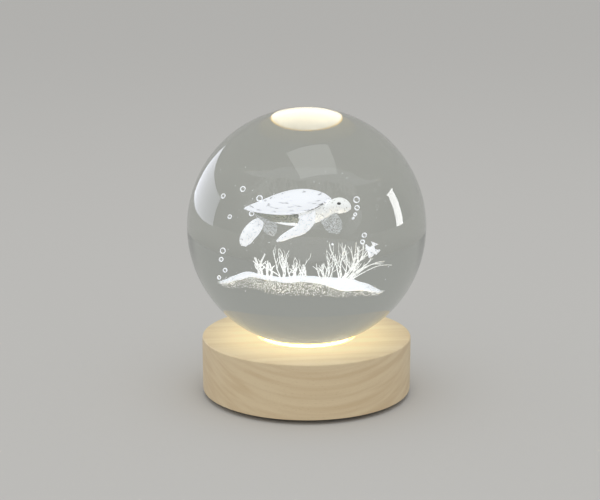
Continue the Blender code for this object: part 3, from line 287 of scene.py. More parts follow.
@dataclass(frozen=True)
class Beech(Finish):
    """Flat-sawn beech, turned, sanded and left with a thin matt oil: pale, with short darker ray flecks.

    The growth layers slope through the disc, so they show as streaks on its top and as curves on its side.
    The lamp's own light, which spills from the seat over the top and lights the recess, is painted on the
    wood there as a glow.
    """

    late_wood: str = "#D3BC97"
    fleck: str = "#A98B60"
    layer: tuple[float, float, float] = (90.0, 14.0, 2.0)
    layer_turn: tuple[float, float, float] = (24.0, 0.0, 8.0)
    layer_detail: float = 3.0
    layer_bend: float = 0.1
    layer_range: tuple[float, float] = (0.36, 0.66)
    fleck_cell: tuple[float, float, float] = (2.0, 0.5, 0.5)
    fleck_range: tuple[float, float] = (0.08, 0.22)
    fleck_share: float = 0.3
    fibre: tuple[float, float, float] = (6.0, 0.18, 0.18)
    fibre_range: tuple[float, float] = (0.35, 0.75)
    fibre_share: float = 0.3
    fibre_depth: float = 0.03
    fibre_strength: float = 0.35
    smoother: float = 0.06
    rougher: float = 0.08
    seat_radius: float = 15.7
    fade_radius: float = 42.0
    top_z: float = 20.0
    # The painted glow of the lamp's light: its colour and strength over the top, at the seat's rim and in the
    # recess
    spill_colour: str = "#FFEFAE"
    spill: float = 0.4
    rim_glow_colour: str = "#FFC83E"
    rim: float = 7.0
    rim_radius: float = 16.9
    recess_glow_colour: str = "#FFF6E4"
    recess: float = 8.5
    recess_low_z: float = 11.5
    soft_across: float = 0.3
    soft_down: float = 0.5
    top_margin: float = 0.1

    def surface(self, tree: bpy.types.NodeTree) -> bpy.types.NodeSocket:
        """Adds growth layers, flecks, fibres and the painted glow of the lamp's light on the top and in the
        recess.

        Args:
            tree: The material's empty node tree.

        Returns:
            The shader socket for the material's output.
        """
        layers = soft_noise(tree, self.layer, self.layer_detail, self.layer_bend, self.layer_turn)
        cells = {"Vector": pattern_space(tree, self.fleck_cell), "Scale": 1.0}
        spots = add_node(tree, "TexVoronoi", cells, "Distance")
        fibres = soft_noise(tree, self.fibre)
        late = add_node(tree, "MapRange", [layers, *self.layer_range], **SMOOTH)
        flecks = add_node(tree, "MapRange", [spots, *self.fleck_range, self.fleck_share, 0.0], **SMOOTH)
        streaks = add_node(tree, "MapRange", [fibres, *self.fibre_range, 0.0, self.fibre_share])
        wood: object = linear(self.colour)
        for share, colour in ((late, self.late_wood), (flecks, self.fleck), (streaks, self.late_wood)):
            colours = {SHARE: share, FIRST: wood, SECOND: linear(colour)}
            wood = add_node(tree, "Mix", colours, MIXED, **COLOURS)
        roughness = (self.roughness - self.smoother, self.roughness + self.rougher)
        bump = {"Strength": self.fibre_strength, "Distance": self.fibre_depth * MM, "Height": fibres}
        light_colour, light_strength = self.light(tree)
        return self.principled(
            tree,
            Base_Color=wood,
            Roughness=add_node(tree, "MapRange", [fibres, *NOISE_RANGE, *roughness]),
            Normal=add_node(tree, "Bump", bump),
            Emission_Color=light_colour,
            Emission_Strength=light_strength,
        )

    def light(self, tree: bpy.types.NodeTree) -> tuple[bpy.types.NodeSocket, bpy.types.NodeSocket]:
        """Works out the glow that is painted on the wood for the light that the LEDs throw on it.

        Args:
            tree: The material's node tree.

        Returns:
            Its colour and its strength: strong and nearly white in the recess, golden at the seat's rim, and
            pale yellow over the top, where it fades out.
        """
        place = pattern_space(tree, (1.0, 1.0, 1.0))
        across = add_node(tree, "VectorMath", [place, (1.0, 1.0, 0.0)], operation="MULTIPLY")
        radius = add_node(tree, "VectorMath", [across], "Value", operation="LENGTH")
        height = add_node(tree, "SeparateXYZ", [place], "Z")
        seat, rim, low, top = self.seat_radius, self.rim_radius, self.recess_low_z, self.top_z
        spill = add_node(tree, "MapRange", [radius, seat, self.fade_radius, self.spill, 0.0], **SMOOTH)
        on_top = add_node(tree, "MapRange", [height, top - self.soft_down, top - self.top_margin])
        above = add_node(tree, "MapRange", [height, low - self.soft_down, low])
        inside = add_node(tree, "MapRange", [radius, seat - self.soft_across, seat, 1.0, 0.0])
        near = add_node(tree, "MapRange", [radius, rim - self.soft_across, rim, 1.0, 0.0])
        high = add_node(tree, "MapRange", [inside, 0.0, 1.0, self.rim, self.recess])
        spilt = add_node(tree, "Math", [spill, on_top], operation="MULTIPLY")
        close = add_node(tree, "Math", [near, above], operation="MULTIPLY")
        strong = add_node(tree, "Math", [close, high], operation="MULTIPLY")
        strength = add_node(tree, "Math", [spilt, strong], operation="MAXIMUM")
        deep = {SHARE: inside, FIRST: linear(self.rim_glow_colour), SECOND: linear(self.recess_glow_colour)}
        colour = add_node(tree, "Mix", deep, MIXED, **COLOURS)
        outer = {SHARE: close, FIRST: linear(self.spill_colour), SECOND: colour}
        return add_node(tree, "Mix", outer, MIXED, **COLOURS), strength


@dataclass(frozen=True)
class Glass(Finish):
    """Clear polished glass or acrylic, which bends what is seen through it and casts no shadow."""

    shade: str = "#F2F2F0"

    def surface(self, tree: bpy.types.NodeTree) -> bpy.types.NodeSocket:
        """Lets shadow and diffuse rays straight through, and bends all others.

        Args:
            tree: The material's empty node tree.

        Returns:
            The shader socket for the material's output.
        """
        glass = self.principled(tree, Transmission_Weight=1.0)
        through = add_node(tree, "BsdfTransparent", [linear(self.shade)])
        for ray in ("Is Diffuse Ray", "Is Shadow Ray"):
            glass = add_node(tree, "MixShader", [add_node(tree, "LightPath", output=ray), glass, through])
        return glass


@dataclass(frozen=True)
class Engraved(Finish):
    """Laser-cracked glass: tiny white fractures, so close that they scatter the lamp's light as frost does.
    That light is painted on as a glow.

    The real points are about a tenth of a millimetre apart, which is too fine to show. So their grain is
    drawn two to four times as coarse.
    """

    light: float = 0.22
    light_colour: str = "#F4F6FF"
    cell: tuple[float, float, float] = (0.3, 0.3, 0.3)
    thin: str = "#A3A6A8"
    thin_range: tuple[float, float] = (0.3, 0.5)
    thin_light: float = 0.35

    def surface(self, tree: bpy.types.NodeTree) -> bpy.types.NodeSocket:
        """Makes the white thinner in grains or dashes, where the cloud of points is less close.

        Args:
            tree: The material's empty node tree.

        Returns:
            The shader socket for the material's output.
        """
        close = add_node(tree, "MapRange", [soft_noise(tree, self.cell), *self.thin_range], **SMOOTH)
        colours = {SHARE: close, FIRST: linear(self.thin), SECOND: linear(self.colour)}
        light = [close, 0.0, 1.0, self.thin_light * self.light, self.light]
        return self.principled(
            tree,
            Base_Color=add_node(tree, "Mix", colours, MIXED, **COLOURS),
            Emission_Color=linear(self.light_colour),
            Emission_Strength=add_node(tree, "MapRange", light),
        )


@dataclass(frozen=True)
class Lit(Finish):
    """A glowing surface: phosphor under current, or a white board close to it, on which the LEDs' light is
    painted as a glow.
    """

    light: float = 1.0
    light_colour: str = "#FFF1D0"
    grain: float = 0.2
    grain_depth: float = 0.01
    grain_strength: float = 0.3

    def surface(self, tree: bpy.types.NodeTree) -> bpy.types.NodeSocket:
        """Adds an even light to a plain surface with a faint grain.

        Args:
            tree: The material's empty node tree.

        Returns:
            The shader socket for the material's output.
        """
        fine = soft_noise(tree, (self.grain,) * 3)
        bump = {"Strength": self.grain_strength, "Distance": self.grain_depth * MM, "Height": fine}
        return self.principled(
            tree,
            Normal=add_node(tree, "Bump", bump),
            Emission_Color=linear(self.light_colour),
            Emission_Strength=self.light,
        )


# Optical glass, ground and polished: nothing shows of its surface but what it bends and mirrors
CRYSTAL = Glass("optical_glass_polished", "#D9DCD7", 0.0, ior=1.5168)
# Acrylic, cast and polished: as clear, with a faintly softer shine
ACRYLIC = Glass("cast_acrylic_polished", "#F4F4F0", 0.02, ior=1.49)
BEECH = Beech("beech_turned_oiled", "#DECBA8", 0.52)
# A close cloud of laser points: bright frost
ENGRAVED = Engraved("glass_laser_cracked", "#E6E8ED", 0.6, light=0.68, thin="#CDD0D5")
# Points in long rows: frost with grey dashes along the shell
ENGRAVED_SHELL = Engraved(
    "glass_laser_shell",
    "#E2E4EC",
    0.6,
    light=0.54,
    cell=(2.6, 2.2, 0.3),
    thin="#AEB0B5",
    thin_range=(0.28, 0.42),
)
# Few and uneven points, and painted shade on the turtle's underside: dull grey
ENGRAVED_BELLY = Engraved(
    "glass_laser_belly",
    "#B4B8AF",
    0.7,
    light=0.16,
    cell=(0.22, 0.22, 0.22),
    thin="#767B73",
    thin_range=(0.42, 0.6),
)
# Points in coarse grains: a scaly white
ENGRAVED_SKIN = Engraved(
    "glass_laser_skin",
    "#E4E5E2",
    0.6,
    light=0.52,
    cell=(0.4, 0.4, 0.4),
    thin="#A3A296",
    thin_range=(0.3, 0.42),
)
# Thin lines of points: a warmer and weaker white
ENGRAVED_FINE = Engraved("glass_laser_fine", "#E8E7DF", 0.6, light=0.6, thin="#C9C8BE")
# Single points: grey stipple
ENGRAVED_DIM = Engraved("glass_laser_stippled", "#CED1D2", 0.6, light=0.36, thin="#ABAEB0")
# Hardly any points, between white ones: the dark eyes, and the painted shade under the shell's rim at the
# neck
ENGRAVED_SPARSE_AND_SHADE = Engraved("glass_laser_sparse_and_shade", "#5A5C5C", 0.6, light=0.02, thin="#3E4040")
# Solder mask, printed and cured: a smooth half gloss, white or green
# The white board's glow is painted light from the LEDs beside it
BOARD_WHITE = Lit("solder_mask_white_lit", "#F0EDE2", 0.4, light=6.5, light_colour="#FFF8EC")
BOARD_GREEN = Moulded("solder_mask_green", "#1E6B43", 0.35, second="#154B30")
# Phosphor in silicone under current: an even, nearly white glow
PHOSPHOR = Lit("led_phosphor_lit", "#FFE9B0", 0.4, light=14.0, light_colour="#FFFBF2")
# Resin, moulded white: a satin case
LED_CASE = Moulded("led_case_moulded_white", "#EDEBE4", 0.4, second="#D8D3C4")
# ABS from a spark-eroded mould: matt. The real grain of 0.1 mm is drawn at 0.25 mm, so that it shows
ABS_BLACK = Moulded("abs_spark_eroded_black", "#1B1B1C", 0.5, grain=0.25, grain_depth=0.02, second="#26262A")
# Epoxy, pressed and smooth: a dark half gloss
EPOXY = Moulded("epoxy_moulded_black", "#1A1A1B", 0.38, second="#222226")
# Alumina with a printed and glazed black face: glossier than the rest
CERAMIC = Moulded("alumina_printed_black", "#26262A", 0.3, second="#1C1C1E")
# Steel, stamped or rolled and nickel-plated: a soft metal shine
STEEL = Moulded(
    "steel_nickel_plated", "#C9C8C4", 0.26, metallic=1.0, grain=0.5, grain_depth=0.003, second="#A9A8A4"
)
# Tinned copper: a duller and greyer shine
TIN = Moulded("solder_tinned", "#CFCFCB", 0.3, metallic=1.0, second="#9D9D99")
# Gold on nickel, plated thin: a smooth yellow shine
GOLD = Moulded("contact_gold_plated", "#D9B25A", 0.25, metallic=1.0, grain_depth=0.002, second="#B98F3C")
# Rubber, moulded: nearly black and without shine
RUBBER = Moulded("rubber_moulded_black", "#202021", 0.8, grain=0.3, grain_depth=0.02, second="#2B2B2C")
# PVC, extruded round the wires: smooth, with a low gloss
PVC_RED = Moulded("pvc_extruded_red", "#B3262A", 0.4, second="#9A1E22")
PVC_BLACK = Moulded("pvc_extruded_black", "#1D1D1E", 0.4, second="#29292B")
# Matt paper for the studio's floor
PAPER = Finish("studio_paper", "#C2C1BE", 0.9, ior=1.0)


# Helpers for meshes


def corners(node: str) -> tuple[Vector, Vector]:
    """Gives a CAD node's lowest and highest corner, in millimetres."""
    low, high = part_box(node)
    return low / MM, high / MM


def join(target: bmesh.types.BMesh, source: bmesh.types.BMesh, finish: int | None = None) -> None:
    """Adds all of one mesh to another and frees it.

    Args:
        target: The mesh that grows.
        source: The mesh that is added.
        finish: The number of the finish that the added faces get, or None to keep theirs.
    """
    if finish is not None:
        for face in source.faces:
            face.material_index = finish
    mesh = bpy.data.meshes.new("joined")
    source.to_mesh(mesh)
    source.free()
    target.from_mesh(mesh)
    bpy.data.meshes.remove(mesh)


def outward(bm: bmesh.types.BMesh) -> bmesh.types.BMesh:
    """Turns all faces of a mesh to its outside."""
    bmesh.ops.recalc_face_normals(bm, faces=bm.faces)
    return bm


def moved(bm: bmesh.types.BMesh, matrix: Matrix) -> bmesh.types.BMesh:
    """Moves, turns or scales all of a mesh."""
    bmesh.ops.transform(bm, matrix=matrix, verts=bm.verts)
    return bm


def shaped(bm: bmesh.types.BMesh, form: Callable[[Vector], Vector]) -> bmesh.types.BMesh:
    """Moves every corner of a mesh by one rule.

    Args:
        bm: The mesh.
        form: The rule, from a corner's old place to its new one.

    Returns:
        The same mesh.
    """
    for vert in bm.verts:
        vert.co = form(vert.co)
    return bm


def edges_at(points: Iterable[bmesh.types.BMVert]) -> list[bmesh.types.BMEdge]:
    """Gives the edges that meet at some corners, each once and in the same order on every run."""
    return list(dict.fromkeys(edge for point in points for edge in point.link_edges))


def pushed(
    bm: bmesh.types.BMesh, edges: Sequence[bmesh.types.BMEdge]
) -> tuple[list[bmesh.types.BMVert], list[bmesh.types.BMEdge]]:
    """Extrudes a ring of edges on the spot.

    Args:
        bm: The mesh.
        edges: The ring.

    Returns:
        The corners and the edges of the new ring, which are still to be moved.
    """
    made = bmesh.ops.extrude_edge_only(bm, edges=edges)["geom"]
    ring = [g for g in made if isinstance(g, bmesh.types.BMVert)]
    new = set(ring)
    return ring, [g for g in made if isinstance(g, bmesh.types.BMEdge) and set(g.verts) <= new]


@dataclass(frozen=True)
class Ring:
    """One cross section of a lofted form.

    The section is an ellipse. Its half width lies across the flat side's facing, and its half thickness
    along it.
    """

    middle: Sequence[float]
    half_width: float
    half_thickness: float


def loft(rings: Sequence[Ring], facing: Vector, sides: int) -> bmesh.types.BMesh:
    """Draws one closed form through rings, by pushing the first ring's edge from each to the next.

    Args:
        rings: The cross sections, in order.
        facing: The way that the form's flat side looks.
        sides: How many corners each ring has.

    Returns:
        The closed form, with its faces pointing out.
    """
    middles = [Vector(r.middle) for r in rings]
    places = []
    for i, ring in enumerate(rings):
        ahead = (middles[min(i + 1, len(rings) - 1)] - middles[max(i - 1, 0)]).normalized()
        across = ahead.cross(facing).normalized()
        flat = across.cross(ahead)
        turn = Matrix((across * ring.half_width, flat * ring.half_thickness, ahead)).transposed()
        places.append(Matrix.Translation(middles[i]) @ turn.to_4x4())
    bm = bmesh.new()
    made = bmesh.ops.create_circle(bm, cap_ends=True, segments=sides, radius=1, matrix=places[0])
    edges = edges_at(made["verts"])
    for before, after in zip(places, places[1:]):
        ring_corners, edges = pushed(bm, edges)
        bmesh.ops.transform(bm, matrix=after @ before.inverted(), verts=ring_corners)
    bmesh.ops.contextual_create(bm, geom=edges)
    return outward(bm)


def turned(profile: Sequence[tuple[float, float]], steps: int) -> bmesh.types.BMesh:
    """Turns an outline round the Z axis, as on a lathe.

    Args:
        profile: Radius and height of each corner, from one end on the axis to the other.
        steps: How many faces go round.

    Returns:
        The turned form, with its faces pointing out.
    """
    bm = bmesh.new()
    points = [bm.verts.new((radius, 0, height)) for radius, height in profile]
    edges = [bm.edges.new(pair) for pair in zip(points, points[1:])]
    bmesh.ops.spin(
        bm,
        geom=points + edges,
        axis=UP,
        cent=(0, 0, 0),
        angle=math.tau,
        steps=steps,
        use_merge=True,
        use_normal_flip=False,
        use_duplicate=False,
    )
    bmesh.ops.remove_doubles(bm, verts=bm.verts, dist=MERGE)
    return outward(bm)


def box(size: Sequence[float], middle: Sequence[float], edge: float = 0.0) -> bmesh.types.BMesh:
    """Makes a block with bevelled edges.

    Args:
        size: Its full size along X, Y and Z.
        middle: Its middle.
        edge: The width of the bevel, or 0 for none.

    Returns:
        The block.
    """
    bm = bmesh.new()
    bmesh.ops.create_cube(bm, size=1, matrix=Matrix.Translation(middle) @ Matrix.Diagonal((*size, 1)))
    if edge:
        bmesh.ops.bevel(
            bm, geom=bm.edges, offset=edge, affect="EDGES", segments=2, profile=0.5, material=-1
        )
    return bm


def dots(places: Iterable[tuple[Vector, float]]) -> bmesh.types.BMesh:
    """Makes a cloud of tiny eight-faced crystals.

    Args:
        places: The middle and the radius of each.

    Returns:
        All of them in one mesh.
    """
    seed = bmesh.new()
    bmesh.ops.create_uvsphere(seed, u_segments=4, v_segments=2, radius=1)
    crystal = bpy.data.meshes.new("crystal")
    seed.to_mesh(crystal)
    seed.free()
    cloud = bmesh.new()
    for middle, radius in places:
        place = Matrix.Translation(middle) @ Matrix.Scale(radius, 4)
        crystal.transform(place)
        cloud.from_mesh(crystal)
        crystal.transform(place.inverted())
    bpy.data.meshes.remove(crystal)
    return cloud


def scatter(surface: bmesh.types.BMesh, count: int, draw: random.Random) -> list[Vector]:
    """Picks points on a surface, evenly by its area.

    An extrusion makes its faces in an order that changes from run to run, so they are put in order of
    their corners' places first.

    Args:
        surface: The mesh to pick from, which is freed.
        count: How many points.
        draw: The seeded source of chance.

    Returns:
        The points.
    """
    bmesh.ops.triangulate(surface, faces=surface.faces)
    in_order = sorted(sorted(vert.co[:] for vert in face.verts) for face in surface.faces)
    surface.free()
    triangles = [[Vector(place) for place in places] for places in in_order]
    weights = [area_tri(*triangle) for triangle in triangles]
    points = []
    for a, b, c in draw.choices(triangles, weights, k=count):
        u, v = draw.random(), draw.random()
        if u + v > 1:
            u, v = 1 - u, 1 - v
        points.append(a + (b - a) * u + (c - a) * v)
    return points


def random_shift(draw: random.Random, reach: Sequence[float]) -> Vector:
    """Draws a random shift, up to a reach to both sides along X, Y and Z."""
    return Vector([draw.uniform(-r, r) for r in reach])


def between(rows: Sequence[Sequence[float]], place: float) -> tuple[float, ...]:
    """Draws a smooth curve through the rows of a table.

    Args:
        rows: The table.
        place: How far down the table, from 0 for its first row to the last row's number.

    Returns:
        The row at that place.
    """
    whole = min(int(place), len(rows) - 2)
    t = place - whole
    picked = (rows[min(max(number, 0), len(rows) - 1)] for number in range(whole - 1, whole + 3))
    return tuple(
        b + 0.5 * t * (c - a + t * (2 * a - 5 * b + 4 * c - d + t * (3 * (b - c) + d - a)))
        for a, b, c, d in zip(*picked)
    )


def along(rows: Sequence[Sequence[float]], share: float) -> tuple[float, ...]:
    """Gives the smoothed row of a table whose first column reaches a value.

    Args:
        rows: The table, with its first column rising.
        share: The value.

    Returns:
        The row there.
    """
    number = next((i for i in range(len(rows) - 1) if share <= rows[i + 1][0]), len(rows) - 2)
    low, high = rows[number][0], rows[number + 1][0]
    return between(rows, number + min(max((share - low) / (high - low), 0.0), 1.0))


def smoothed(rows: Sequence[Sequence[float]], steps: int) -> list[tuple[float, ...]]:
    """Fills a table with rows between its own, evenly."""
    return [between(rows, i / steps * (len(rows) - 1)) for i in range(steps + 1)]


@dataclass
class Assembly:
    """Pieces that ride on one body, placed through one method."""

    body: Body

    def place(
        self,
        name: str,
        bm: bmesh.types.BMesh,
        finishes: Finish | Sequence[Finish],
        slot: Slot | None = None,
        replaces: Sequence[str] = (),
        smooth: float = 35.0,
    ) -> bpy.types.Object:
        """Turns a mesh in millimetres into a finished piece.

        Args:
            name: The piece's name.
            bm: Its mesh, which is freed.
            finishes: Its finish, or one for each of its material numbers.
            slot: The record's slot for the piece; not used.
            replaces: The CAD nodes that it stands for.
            smooth: The angle in degrees up to which neighbouring faces are shaded as one.

        Returns:
            The piece.
        """
        bmesh.ops.scale(bm, vec=(MM,) * 3, verts=bm.verts)
        mesh = bpy.data.meshes.new(name)
        bm.to_mesh(mesh)
        bm.free()
        mesh.shade_smooth()
        mesh.set_sharp_from_angle(angle=math.radians(smooth))
        for finish in [finishes] if isinstance(finishes, Finish) else finishes:
            mesh.materials.append(finish.material())
        piece = bpy.data.objects.new(name, mesh)
        bpy.context.scene.collection.objects.link(piece)
        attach(piece, self.body.value)
        if replaces:
            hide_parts(*replaces)
        LOG.info("%s: %d faces on %s", name, len(mesh.polygons), self.body.value)
        return piece

    def dress(self, node: str, finish: Finish) -> None:
        """Gives its finish to a CAD node that stays in view.

        Args:
            node: The CAD node.
            finish: The finish for all of it.
        """
        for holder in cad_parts[node].material_slots:
            holder.material = finish.material()
        LOG.info("%s: dressed", node)

    def cad_copy(self, node: str) -> bmesh.types.BMesh:
        """Copies a CAD node's mesh, merged and in millimetres, with flat areas as single faces.

        Args:
            node: The CAD node.

        Returns:
            The copy.
        """
        bm = bmesh.new()
        bm.from_mesh(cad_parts[node].data)
        bmesh.ops.scale(bm, vec=(1 / MM,) * 3, verts=bm.verts)
        bmesh.ops.remove_doubles(bm, verts=bm.verts, dist=MERGE)
        bmesh.ops.dissolve_limit(bm, angle_limit=math.radians(FLAT), verts=bm.verts, edges=bm.edges)
        return bm

    def refine(
        self, name: str, node: str, finish: Finish, slot: Slot, smooth: float = 35.0
    ) -> bpy.types.Object:
        """Places a CAD node's own form as a piece with smooth round faces.

        Args:
            name: The piece's name.
            node: The CAD node, which the piece replaces.
            finish: Its finish.
            slot: The record's slot for the piece, handed on to place.
            smooth: The angle in degrees up to which neighbouring faces are shaded as one.

        Returns:
            The piece.
        """
        return self.place(name, self.cad_copy(node), finish, slot, [node], smooth)


# The glass ball and what is engraved in it


@dataclass
class CrystalBall(Assembly):
    """The loose ball, a full polished sphere."""

    steps_round: int = 192
    steps_down: int = 96

    def __post_init__(self) -> None:
        """Reads the ball's middle and radius from the frame."""
        low, high = corners("crystal_ball")
        self.middle = (low + high) / 2
        self.radius = (high.z - low.z) / 2

    def build(self) -> None:
        """Makes the sphere."""
        bm = bmesh.new()
        bmesh.ops.create_uvsphere(
            bm,
            u_segments=self.steps_round,
            v_segments=self.steps_down,
            radius=self.radius,
            matrix=Matrix.Translation(self.middle),
        )
        self.place("glass_ball", bm, CRYSTAL, Slot.CRYSTAL, ["crystal_ball"], smooth=60)


@dataclass(frozen=True)
class Limb:
    """One flipper: its root on the shell, and rows of place, half width and half thickness along it.

    The root is given as shares of the shell's half length, half width and crown. In a row, the place is a
    share of the limb's length, and the rest are shares of its width and thickness. The teeth are the fine
    scallops of its edges, as a share of its width.
    """

    root: tuple[float, float, float]
    length: float
    width: float
    rows: tuple[tuple[float, float, float, float, float], ...]
    thick: float = 0.8
    teeth: float = 0.0
    steps: int = 30
    sides: int = 20


@dataclass
class Turtle:
    """A sea turtle that swims to the right, with its near side raised and its nose turned to the viewer.

    A row of the shell has its place along the half length, and the shares of half width, crown, droop of the
    rim and depth of the belly. A row of the head has its place along the head, and the shares of its rise,
    half width and half height. The fold, a line of painted shade where the neck goes in under the shell, runs
    from the first place to the second, with the last as its radius.
    """

    middle: tuple[float, float, float] = (-4.0, 0.0, 4.0)
    yaw: float = -20.0
    pitch: float = -3.0
    roll: float = -15.0
    length: float = 19.8
    width: float = 14.0
    crown: float = 4.5
    droop: float = 1.3
    belly: float = 3.6
    belly_fit: tuple[float, float, float] = (0.97, 0.95, 1.0)
    shell_wall: float = 0.25
    shell_steps: int = 96
    belly_steps: int = 64
    keel_count: int = 7
    keel_height: float = 0.14
    keel_power: int = 3
    lip: float = 0.22
    head_root: float = 0.73
    head_length: float = 8.1
    head_width: float = 3.4
    head_height: float = 3.6
    head_steps: int = 28
    eye_radius: float = 0.42
    eye_place: tuple[float, float, float] = (0.7, 0.475, 0.46)
    eye_shape: tuple[float, float, float] = (1.25, 0.55, 0.8)
    eye_steps: tuple[int, int] = (16, 10)
    far_points: int = 2600
    point_radius: float = 0.07
    skin_from: float = 0.46
    edge_slope: float = -0.97
    fold: tuple[float, float, float] = (0.66, 0.96, 0.2)
    fold_below: float = -0.08
    fold_steps: int = 12
    fold_sides: int = 8
    tooth_width: float = 0.3
    facing: Vector = field(default_factory=lambda: Vector((0.1, -1, 0.2)).normalized())
    shell_rows: tuple[tuple[float, ...], ...] = (
        (-1.00, 0.10, 0.05, 0.00, 0.06),
        (-0.88, 0.36, 0.17, -0.25, 0.26),
        (-0.60, 0.68, 0.42, -0.62, 0.58),
        (-0.30, 0.91, 0.70, -0.88, 0.86),
        (0.00, 1.00, 0.91, -1.00, 1.00),
        (0.30, 0.99, 1.01, -0.90, 1.00),
        (0.55, 0.92, 1.00, -0.52, 0.88),
        (0.80, 0.70, 0.90, 0.35, 0.62),
        (0.95, 0.36, 0.72, 1.35, 0.20),
        (1.00, 0.03, 0.55, 1.85, -0.40),
    )
    head_rows: tuple[tuple[float, ...], ...] = (
        (0.00, -0.08, 0.62, 0.52),
        (0.20, 0.04, 0.52, 0.48),
        (0.38, 0.22, 0.44, 0.42),
        (0.53, 0.33, 0.50, 0.49),
        (0.67, 0.35, 0.52, 0.52),
        (0.81, 0.30, 0.45, 0.44),
        (0.93, 0.22, 0.27, 0.27),
        (1.00, 0.15, 0.04, 0.05),
    )
    near_front: Limb = Limb(
        root=(0.60, -0.66, -0.10),
        length=11.0,
        width=2.8,
        rows=(
            (-0.07, 0.06, 0.15, 0.40, 0.60),
            (-0.03, 0.00, 0.02, 0.78, 0.80),
            (0.01, -0.08, -0.18, 0.66, 0.60),
            (-0.12, -0.14, -0.36, 0.50, 0.50),
            (-0.32, -0.19, -0.45, 0.37, 0.40),
            (-0.52, -0.22, -0.55, 0.26, 0.30),
            (-0.65, -0.24, -0.62, 0.08, 0.10),
        ),
        teeth=0.05,
    )
    near_rear: Limb = Limb(
        root=(-0.50, -0.42, -0.46),
        length=10.0,
        width=2.9,
        rows=(
            (-0.06, 0.06, -0.09, 0.30, 0.50),
            (-0.13, 0.00, -0.16, 0.48, 0.60),
            (-0.23, -0.08, -0.25, 0.58, 0.45),
            (-0.34, -0.13, -0.36, 0.58, 0.40),
            (-0.44, -0.15, -0.53, 0.48, 0.30),
            (-0.47, -0.15, -0.64, 0.20, 0.12),
        ),
        teeth=0.04,
    )
    far_rows: tuple[tuple[float, ...], ...] = (
        (-0.12, -0.14, 0.20, 0.40, 0.70),
        (0.04, 0.02, 0.02, 0.50, 0.50),
        (0.20, 0.16, -0.24, 0.56, 0.40),
        (0.32, 0.28, -0.48, 0.44, 0.30),
        (0.36, 0.34, -0.64, 0.06, 0.12),
    )

    def __post_init__(self) -> None:
        """Works out how the body is turned and where the far flippers are."""
        self.placed = Matrix.Translation(self.middle)
        for angle, axis in ((self.yaw, "Z"), (self.pitch, "Y"), (self.roll, "X")):
            self.placed = self.placed @ Matrix.Rotation(math.radians(angle), 4, axis)
        self.half = (self.length / 2, self.width / 2, self.crown)
        self.neck = self.head_root * self.length / 2
        self.far_front = Limb((0.77, 0.50, -0.30), 6.6, 3.6, self.far_rows, steps=12, sides=12)
        self.far_rear = Limb((-0.68, 0.40, -0.40), 7.0, 2.9, self.far_rows, steps=12, sides=12)

    def on_body(self, point: Vector, keels: float = 0.0) -> Vector:
        """Maps a point of a unit sphere to the body.

        Args:
            point: The point. Its X runs along the body, and above 0 in Z it is on the shell.
            keels: The height of lengthwise ridges.

        Returns:
            The place on the shell or the belly, before the body is turned.
        """
        _, width, crown, droop, belly = along(self.shell_rows, point.x)
        across = math.hypot(point.y, point.z) or 1.0
        rim = droop * self.droop
        reach = crown * self.crown - rim if point.z > 0 else rim + belly * self.belly
        side = math.atan2(point.z, point.y)
        ridge = keels * across * max(0.0, math.cos(side * (self.keel_count + 1))) ** self.keel_power
        y = width * self.width / 2 * point.y / across
        return Vector((point.x * self.length / 2, y, rim + (reach + ridge) * point.z / across))

    def half_sphere(self, upper: bool, steps: int) -> bmesh.types.BMesh:
        """Makes half of a unit sphere with its poles at both ends of X.

        Args:
            upper: True for the half above Z = 0.
            steps: How many faces lie along it.

        Returns:
            The open half.
        """
        lying = Matrix.Rotation(math.pi / 2, 4, "Y")
        bm = bmesh.new()
        bmesh.ops.create_uvsphere(bm, u_segments=steps, v_segments=steps // 2, radius=1, matrix=lying)
        bmesh.ops.bisect_plane(
            bm,
            geom=[*bm.verts, *bm.edges, *bm.faces],
            plane_co=(0, 0, 0),
            plane_no=(0, 0, -1 if upper else 1),
            clear_outer=True,
        )
        return bm

    def shell(self) -> bmesh.types.BMesh:
        """Makes the keeled upper shell with its thin turned-out rim.

        Returns:
            The shell, where it lies in the ball.
        """
        bm = self.half_sphere(True, self.shell_steps)
        shaped(bm, lambda p: self.on_body(p, self.keel_height))
        edge, _ = pushed(bm, [e for e in bm.edges if e.is_boundary])
        wider = Matrix.Diagonal((1 + 2 * self.lip / self.length, 1 + 2 * self.lip / self.width, 1, 1))
        bmesh.ops.transform(bm, matrix=Matrix.Translation((0, 0, -self.lip / 2)) @ wider, verts=edge)
        bmesh.ops.solidify(outward(bm), geom=bm.faces, thickness=self.shell_wall)
        return moved(outward(bm), self.placed)

    def belly_form(self) -> bmesh.types.BMesh:
        """Makes the rounded belly up to just under the shell's rim, with skin in front and a bright edge.

        Returns:
            The belly, where it lies in the ball.
        """
        bm = shaped(self.half_sphere(False, self.belly_steps), self.on_body)
        bmesh.ops.contextual_create(bm, geom=[e for e in bm.edges if e.is_boundary])
        bmesh.ops.scale(bm, vec=self.belly_fit, verts=bm.verts)
        for face in outward(bm).faces:
            skin = face.calc_center_median().x > self.skin_from * self.length / 2
            face.material_index = 1 if skin else 2 * int(face.normal.z < self.edge_slope)
        return moved(bm, self.placed)

    def head(self) -> bmesh.types.BMesh:
        """Makes the neck and the head down to the beak.

        Returns:
            The head, where it lies in the ball.
        """
        rings = []
        for reach, up, wide, tall in smoothed(self.head_rows, self.head_steps):
            middle = (self.neck + reach * self.head_length, 0, up * self.head_height)
            rings.append(Ring(middle, wide * self.head_width, tall * self.head_height))
        return moved(loft(rings, UP, self.head_steps), self.placed)

    def neck_shade_line(self) -> bmesh.types.BMesh:
        """Makes the line of painted shade where the neck goes in under the shell.

        Returns:
            The line, where it lies in the ball.
        """
        start, end, radius = self.fold
        rings = []
        for i in range(self.fold_steps + 1):
            share = start + (end - start) * i / self.fold_steps
            around = math.sqrt(1 - share * share)
            middle = self.on_body(Vector((share, -around, self.fold_below * around)))
            rings.append(Ring(middle, radius, radius))
        return moved(loft(rings, UP, self.fold_sides), self.placed)

